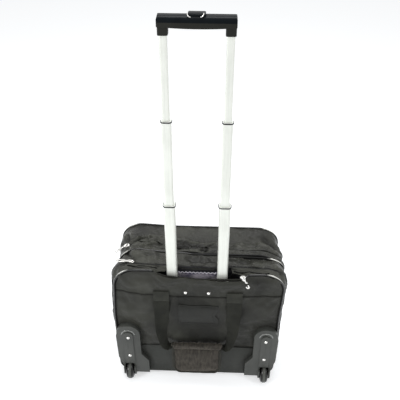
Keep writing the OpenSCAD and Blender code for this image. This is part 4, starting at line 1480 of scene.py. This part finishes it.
def wrap_outline(inset):
    """Places round the wrap's flap, from its upper left over its lower edge to its upper right."""
    rx, rz = WRAP_CORNER[0] - inset, WRAP_CORNER[1] - inset
    half, low = WRAP_HALF - inset, WRAP_LOW + inset
    arc = [Vector((half - rx + rx * sin(a), WRAP_MID, low + rz - rz * cos(a)))
        for a in (radians(10 * k) for k in range(10))]
    flat = [Vector(((half - rx) * k / 6, WRAP_MID, low)) for k in range(6)]
    climb = WRAP_SEAM + 20 * MM - low - rz
    rise = [Vector((half, WRAP_MID, low + rz + climb * k / 8)) for k in range(1, 9)]
    right = flat + arc + rise
    return [Vector((-p.x, p.y, p.z)) for p in reversed(right[1:])] + right


def make_wrap_rim(name):
    """The tape that binds the flap's edge: folded over it, so a cord pressed flat."""
    half = BINDING_W / 2
    rim = round_cord(path_through("wrap_rim_path", wrap_outline(half)), name, half)

    def pressed(p):
        off = (p.y - WRAP_MID) / half
        return Vector((p.x, WRAP_MID + copysign(4.8 * MM * sqrt(abs(off)), off), p.z))

    shape(rim, pressed)
    tremble(rim, 0.02, 0.8 * MM, 25)
    rounder(rim)
    return smooth(rim, 50)


def make_wrap():
    """The wrap on the rear handle: a sleeve over the webbing, and a flap that hangs from it."""
    flap = soft_block("wrap_flap", (-WRAP_HALF + FLAP_INSET, WRAP_MID - 2.4 * MM, WRAP_LOW + FLAP_INSET),
        (WRAP_HALF - FLAP_INSET, WRAP_MID + 2.4 * MM, WRAP_SEAM + 2 * MM),
        (WRAP_CORNER[0] - FLAP_INSET, WRAP_CORNER[1] - FLAP_INSET), 3.2 * MM, 1.2, 0.03, 21)
    sleeve = soft_block("wrap_sleeve", (-WRAP_HALF + SLEEVE_INSET, WRAP_MID - 4.5 * MM, WRAP_SEAM + 1 * MM),
        (WRAP_HALF - SLEEVE_INSET, WRAP_MID + 4.5 * MM, WRAP_TOP - 2 * MM),
        (4 * MM, 6 * MM), 4 * MM, 2.0, 0.1, 22)
    crease(sleeve, 0.03, 0.0075, 90, 1.8 * MM, 24, lambda p: smoothstep((p.z - WRAP_SEAM) / (6 * MM)))
    rim = make_wrap_rim("wrap_rim")
    lay_weave(rim)
    return flap, sleeve, rim


def to_front(p):
    """From the rear handle's place to the front handle's."""
    return Vector((p.x, back + front - p.y, p.z))


def front_copy(piece, name):
    return flipped(twin(piece, name, to_front))


def make_handles():
    strap_right = make_strap("rear_strap_right")
    strap_left = twin(mirrored(strap_right, "strap_mirror"), "rear_strap_left", lambda p: p + 2 * LEAN
        * smoothstep((p.z - LEAN_FROM) / LEAN_OVER))
    tab_right = make_tab("rear_tab_right")
    tab_left = twin(mirrored(tab_right, "tab_mirror"), "rear_tab_left", lambda p: p + 2 * LEAN)
    thread_right = box_of_stitches("rear_tab_thread_right")
    thread_left = twin(mirrored(thread_right, "thread_mirror"), "rear_tab_thread_left",
        lambda p: p + 2 * LEAN)
    drop(*(bpy.data.objects[n] for n in ("strap_mirror", "tab_mirror", "thread_mirror")))
    flap, sleeve, rim = make_wrap()
    straps = join("rear_handle_webbing", [strap_right, strap_left])
    tabs = join("rear_handle_tabs", [tab_right, tab_left])
    threads = join("rear_tab_threads", [thread_right, thread_left])
    fronts = [front_copy(p, p.name.replace("rear_", "").replace("wrap_", "handle_wrap_") + "_front")
        for p in (straps, tabs, threads, flap, sleeve, rim)]
    parts = ((straps, webbing, "webbing", "strap"), (tabs, tab_webbing, "webbing", "panel"),
        (threads, thread_black, "webbing", "panel"), (flap, wrap_velour, "wrap_fabric", "handle"),
        (sleeve, wrap_velour, "wrap_fabric", "handle"), (rim, wrap_binding, "wrap_fabric", "handle"))
    bend = (0, 0, TAB_LOW + 3 * MM), (0, 0, TAB_LOW - 13 * MM)
    rides = {"handle": ("rear_handle", "front_handle"), "panel": ("case", "front_leaf"),
        "strap": (("case", "rear_handle", *bend), ("front_leaf", "front_handle", *bend))}
    for (piece, material, finish, place), copy in zip(parts, fronts):
        dress(piece, material, rides[place][0], slot=finish)
        dress(copy, material, rides[place][1], slot=finish)
    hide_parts("rear_handle_straps")
    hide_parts("rear_handle_wrap")
    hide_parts("front_handle_straps")
    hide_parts("front_handle_wrap")


make_handles()

# ------------------------------------------------------------------ what lies on the back panel

panel_tree = tree_of(back_panel)


def lay_on(point, lift=0.0):
    """The place on the back panel that shows at an image point, lifted off its cloth."""
    place, normal = on_surface(panel_tree, IMAGE[point])
    if normal.y > 0:
        normal = -normal
    return place + normal * lift


def onto_panel(x, z, lift=0.0):
    """The place on the back panel at an x and a height."""
    place, _, _, _ = panel_tree.ray_cast(Vector((x, back - 0.2, z)), Vector((0, 1, 0)))
    if place is None:
        place = Vector((x, back, z))
    return Vector((x, place.y - lift, z))


def seam_line(points, step=8 * MM, lift=0.0):
    """Places on the panel along a smooth line through a few of its places."""
    made = []
    count = len(points)
    for k, (a, b) in enumerate(zip(points, points[1:])):
        before, after = points[max(k - 1, 0)], points[min(k + 2, count - 1)]
        parts = max(1, ceil((b - a).length / step))
        for i in range(parts):
            t = i / parts
            mixed = 0.5 * ((2 * a) + (b - before) * t + (2 * before - 5 * a + 4 * b - after) * t ** 2
                + (3 * a - before - 3 * b + after) * t ** 3)
            made.append(onto_panel(mixed.x, mixed.z, lift))
    made.append(onto_panel(points[-1].x, points[-1].z, lift))
    return made


def make_panel_seam():
    """The seam across the back panel: a folded edge, and a row of stitches under it."""
    ends = [lay_on(k) for k in ("seam_left", "seam_mid_left", "seam_middle", "seam_right")]
    ends[0].x = -half_back + 5 * MM
    ends[-1].x = half_back + 1 * MM
    line = seam_line(ends, lift=0.2 * MM)
    edge = round_cord(path_through("panel_seam_path", line), "panel_seam_fold", 1.1 * MM, 2)
    thread = stitches("panel_seam_thread", [p + Vector((0, -0.5 * MM, -3.2 * MM)) for p in line])
    lay_weave(edge)
    dress(edge, binding, "case", slot="panel_fabric")
    dress(thread, thread_black, "case", slot="panel_fabric")


make_panel_seam()


def make_card_pocket():
    """The card pocket: a flat vinyl pocket with a notch in its right edge and a folded border."""
    upper, lower, notch = lay_on("card_upper_left"), lay_on("card_lower_right"), lay_on("card_notch")
    left, right, top, low = upper.x, lower.x, upper.z, lower.z
    depth = onto_panel((left + right) / 2, (top + low) / 2).y
    pocket = upright_sheet("card_pocket_cloth", depth - 1.4 * MM, left, right, low, top)
    slice_up(pocket, 0, left, right, 4 * MM)
    slice_up(pocket, 2, low, top, 4 * MM)
    lay_weave(pocket)

    def notched(p):
        near_right = smoothstep((p.x - (right - 26 * MM)) / (26 * MM))
        off = abs(p.z - notch.z)
        cut = 9 * MM * max(0.0, 1 - off / (16 * MM)) - 1.5 * MM
        lift = onto_panel(p.x, p.z).y - depth
        border = min(p.x - left, right - p.x, top - p.z, p.z - low)
        swell = 0.9 * MM * smoothstep(border / (10 * MM))
        swell -= 0.6 * MM * exp(-((border - 5 * MM) / (1.5 * MM)) ** 2)
        return Vector((p.x - cut * near_right, p.y + lift * 0.9 - swell, p.z))

    shape(pocket, notched)
    rounder(pocket)
    finish_with(pocket, "SOLIDIFY", thickness=1.3 * MM, offset=-1.0)
    finish_with(pocket, "BEVEL", width=0.4 * MM, segments=2, limit_method="ANGLE")
    dress(smooth(pocket, 50), card_vinyl, "case", "card_pocket", slot="panel_fabric")
    rim = [Vector((left + 4 * MM, 0, low + 4 * MM)), Vector((right - 7 * MM, 0, low + 4 * MM)),
        Vector((notch.x - 9 * MM, 0, notch.z)), Vector((right - 7 * MM, 0, top - 4 * MM)),
        Vector((left + 4 * MM, 0, top - 4 * MM))]
    row = stitches("card_pocket_thread", [onto_panel(p.x, p.z, 3.0 * MM) for p in rim], True)
    dress(row, thread_black, "case", slot="panel_fabric")


make_card_pocket()


def make_mouth_binding():
    """The bound edge of the rear pocket's mouth."""
    count = 24
    line = []
    for k in range(count + 1):
        x = MOUTH[0] + (MOUTH[1] - MOUTH[0]) * k / count
        p = stand(slump(Vector((x, back, case_top))))
        line.append(p + Vector((0, 1.2 * MM, -0.8 * MM)))
    tape_cord = round_cord(path_through("mouth_path", line), "pocket_mouth_binding", 2.6 * MM)
    lay_weave(tape_cord)
    dress(tape_cord, binding, "case", slot="panel_fabric")


make_mouth_binding()


# The lining's zigzag: its turns to each side of the middle, their distance, and half its height
ZIGZAG_TURNS, ZIGZAG_STEP, ZIGZAG_RISE = 10, 4.5 * MM, 1.6 * MM


def lay_line(point):
    """Where an image point meets the upright plane of the rear pocket's lining."""
    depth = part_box("pocket_lining")[0].y
    corners = [Vector((x, depth, z)) for x, z in ((-1, 0), (1, 0), (1, 1), (-1, 1))]
    wall = BVHTree.FromPolygons(corners, [(0, 1, 2, 3)])
    return on_surface(wall, IMAGE[point])[0]


def make_lining():
    """The rear pocket's lining: a thin satin sheet with soft upright folds, behind the rails. Its
    top is a dark band, sewn on with a zigzag of pale thread."""
    low_corner, high_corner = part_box("pocket_lining")
    reach = (high_corner.x - low_corner.x) / 2
    sheet = upright_sheet("pocket_lining_cloth", low_corner.y, -reach, reach, low_corner.z, high_corner.z)
    slice_up(sheet, 0, low_corner.x, high_corner.x, 5 * MM)
    slice_up(sheet, 2, low_corner.z, high_corner.z, 5 * MM)
    lay_weave(sheet)
    rail_brackets = (294 * MM, 320 * MM)
    band_low = lay_line("lining_stitch_left").z, lay_line("lining_stitch_right").z

    def held(p):
        rim = min(high_corner.x - abs(p.x), high_corner.z - p.z, p.z - low_corner.z)
        return 1.0 if rim < 4 * MM else 0.0

    def band_edge(x):
        t = (x - low_corner.x) / (high_corner.x - low_corner.x)
        return band_low[0] + (band_low[1] - band_low[0]) * t

    tremble(sheet, 0.02, 1.0 * MM, 31)
    billow(sheet, held, 0.04, 0.8, bend=0.2, cap=3 * MM)
    cut_away(sheet, lambda c, n: abs(abs(c.x) - RAIL_X) < 23 * MM and rail_brackets[0] < c.z
        < rail_brackets[1])
    cloth_wall(sheet, 0.5 * MM, ((0.07, 0.012, 0, 1.6 * MM, 33, lambda p: 1.0),))

    def clear_of_rails(p):
        beside = 1 - smoothstep((abs(abs(p.x) - RAIL_X) - 15 * MM) / (4 * MM))
        return Vector((p.x, p.y + beside * max(0.0, low_corner.y + 0.4 * MM - p.y), p.z))

    shape(sheet, clear_of_rails)
    dress(sheet, satin, "case", "pocket_lining", slot="lining")
    sheet.data.materials.append(dark_lining)
    for f in sheet.data.polygons:
        if f.center.z > band_edge(f.center.x) or abs(f.center.x) > 50 * MM:
            f.material_index = 1
    zigzag = []
    for k in range(-ZIGZAG_TURNS, ZIGZAG_TURNS + 1):
        x = k * ZIGZAG_STEP
        z = band_edge(x) + ZIGZAG_RISE * (-1 if k % 2 else 1)
        zigzag.append(Vector((x, low_corner.y - 4.6 * MM, z)))
    row = round_cord(path_through("lining_zigzag_path", zigzag), "lining_zigzag", 1.2 * MM, 2)
    dress(row, pale_thread, "case", slot="lining")


make_lining()

# ------------------------------------------------------------------ small moulded details

def make_housing_arch(point, side):
    """The raised arch over a housing's boss, where the photograph shows it. Its pale colour is a painted
    highlight.
    """
    housing = bpy.data.objects["wheel_housing_%s_finished" % ("left" if side < 0 else "right")]
    place, _ = on_surface(tree_of(housing), IMAGE[point])
    radius = 16.5 * MM
    bpy.ops.mesh.primitive_torus_add(major_radius=radius, minor_radius=1.7 * MM, major_segments=48,
        minor_segments=10, rotation=(pi / 2, 0, 0))
    arch = settle(bpy.context.object, "housing_arch_" + ("left" if side < 0 else "right"))
    cut_away(arch, lambda p: p.z < 2 * MM, "VERT")
    centre_x = side * (abs(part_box("rivets")[1].x) - 4.5 * MM)
    shape(arch, lambda p: Vector((p.x + centre_x, p.y + place.y + 0.2 * MM, p.z + place.z - radius)))
    return dress(smooth(arch, 60), arch_highlight_plastic, "case", slot="housing")


make_housing_arch("housing_arch_left", -1)
make_housing_arch("housing_arch_right", 1)


def make_collar(node):
    """A collar: a pale cap with soft edges, and a dark cord round its lip."""
    piece = refined(node, collar_light, 0.0, "collar_plastic")
    low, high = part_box(node)
    half_x, half_y = high.x - RAIL_X, (high.y - low.y) / 2
    middle = (low.y + high.y) / 2

    def on_rim(c, d):
        off = max(abs(abs(c.x) - RAIL_X) / half_x, abs(c.y - middle) / half_y)
        return near(c.z, high.z, 0.2 * MM) and off > 0.84

    dark_lip_cord = round_cord(path_from(piece, node + "_rim", on_rim), node + "_gasket", 1.3 * MM, 2)
    shape(dark_lip_cord, lambda p: p - Vector((0, 0, 1.6 * MM)))
    return dress(dark_lip_cord, collar_dark, nodes[node]["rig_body"], slot="collar_plastic")


for node in ("guide_collars", "collars_low", "collars_mid"):
    make_collar(node)


def make_button_marks():
    """The two pale curved marks beside the button's lower corners."""
    tree = tree_of(bpy.data.objects["grip_cover_finished"], bpy.data.objects["grip_button_finished"])
    marks = []
    for side, point in ((-1, "button_mark_left"), (1, "button_mark_right")):
        place, _ = on_surface(tree, IMAGE[point])
        line = [place + Vector((side * x * MM, -0.6 * MM, z * MM)) for x, z in ((2.2, 3.4), (1.6, 0.3),
            (-0.4, -2.4), (-3.4, -3.8))]
        marks.append(round_cord(path_through("mark_path", line), "mark", 1.1 * MM))
    both = join("button_marks", marks)
    return dress(smooth(both), zinc, "rail_top", slot="zinc")


make_button_marks()


def make_laptop_pad():
    """The padding of the laptop sleeve."""
    low_corner, high_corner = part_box("laptop_pad")
    inset = Vector((3 * MM, 1 * MM, 3 * MM))
    pad = soft_block("laptop_pad_cloth", low_corner + inset, high_corner - inset,
        (10 * MM, 10 * MM), 2 * MM, 0.8, 0.01, 41, 6 * MM)
    dress(pad, pad_foam, "case", "laptop_pad", slot="pad")


make_laptop_pad()

# ------------------------------------------------------------------ CAD nodes that stay

STAYS = {
    aluminium: ("rail_low_left", "rail_low_right", "rail_mid_left", "rail_mid_right", "rail_top_left",
        "rail_top_right", "guide_tubes"),
    steel: ("lock_pin_top_left", "lock_pin_top_right", "lock_pin_mid_left", "lock_pin_mid_right",
        "lock_pin_low_left", "lock_pin_low_right", "axles", "foot_screws", "rivets", "release_yoke",
        "button_spring"),
    hub_plastic: ("hub_left", "hub_right"),
    frame_plastic: ("frame_tray", "rail_brackets", "lock_blocks_low", "lock_blocks_mid",
        "lock_blocks_top", "main_divider"),
}
for material, names in STAYS.items():
    for name in names:
        nodes[name].data.materials.clear()
        nodes[name].data.materials.append(material)

# ------------------------------------------------------------------ what was made, measured

def pixel(p):
    """Where a place shows in the photograph's frame."""
    scale = max(PHOTO_W, PHOTO_H)
    p = camera.matrix_world.inverted() @ p
    spread = scale * camera.data.lens / camera.data.sensor_width / -p.z
    return Vector((p.x * spread + PHOTO_W / 2 - camera.data.shift_x * scale,
        PHOTO_H / 2 - p.y * spread + camera.data.shift_y * scale))


def showing(names, point, reach):
    """Where the finished vertices that show lie, of those in reach of an image point in x and y."""
    eye = camera.matrix_world.translation
    depsgraph = bpy.context.evaluated_depsgraph_get()
    found = []
    for name in names:
        for v in bpy.data.objects[name].data.vertices:
            at = pixel(v.co)
            if abs(at.x - point[0]) > reach[0] or abs(at.y - point[1]) > reach[1]:
                continue
            way = (eye - v.co).normalized()
            start = v.co + way * 1.5 * MM
            if not bpy.context.scene.ray_cast(depsgraph, start, way)[0]:
                found.append(at)
    return found


def middle_of(found):
    return (min(p.x for p in found) + max(p.x for p in found)) / 2, (min(p.y for p in found)
        + max(p.y for p in found)) / 2


def measure_points():
    """How far in x and y each named thing shows from its image point."""
    cloths = ("back_band_cloth", "main_band_cloth", "rim_band_cloth", "leaf_band_cloth", "rear_piping",
        "middle_piping", "front_piping")
    near_line, near_piece = (1.5, 8), (9, 9)
    wanted = {
        "case_left": (cloths, (12, 2), lambda f, y: (min(p.x for p in f), y)),
        "case_right": (cloths, (12, 2), lambda f, y: (max(p.x for p in f), y)),
        "button_top": (("grip_button_finished",), (14, 9),
            lambda f, y: (middle_of(f)[0], min(p.y for p in f))),
        "wheel_bottom": (("tyre_right_finished",), (14, 12), lambda f, y: (middle_of(f)[0],
            max(p.y for p in f))),
        "card_upper_left": (("card_pocket_cloth",), near_piece,
            lambda f, y: min(f, key=lambda p: p.x + p.y)),
        "card_lower_right": (("card_pocket_cloth",), near_piece,
            lambda f, y: max(f, key=lambda p: p.x + p.y)),
        "card_notch": (("card_pocket_cloth",), (9, 1.5), lambda f, y: (max(p.x for p in f), y)),
        "kick_seam": (("kick_plate_finished",), (40, 9), lambda f, y: (IMAGE["kick_seam"][0],
            min(p.y for p in f))),
        "wrap_seam": (("wrap_sleeve",), (6, 12), lambda f, y: (IMAGE["wrap_seam"][0], max(p.y for p in f))),
    }
    for name in ("button_mark_left", "button_mark_right"):
        wanted[name] = (("button_marks",), (6, 6), lambda f, y: middle_of(f))
    for name in ("lining_stitch_left", "lining_stitch_right"):
        wanted[name] = (("lining_zigzag",), near_line, lambda f, y: middle_of(f))
    for name in ("seam_left", "seam_mid_left", "seam_middle", "seam_right"):
        wanted[name] = (("panel_seam_fold",), near_line, lambda f, y: middle_of(f))
    for side in ("left", "right"):
        wanted["housing_arch_" + side] = (("housing_arch_" + side,), (14, 14), lambda f, y: middle_of(f))
    off = {}
    for name, (pieces, reach, rule) in wanted.items():
        point = IMAGE[name]
        found = showing(pieces, point, reach)
        shown = rule(found, point[1]) if found else None
        off[name] = [round(shown[0] - point[0], 2), round(shown[1] - point[1], 2)] if found else None
    return off


measure_points()
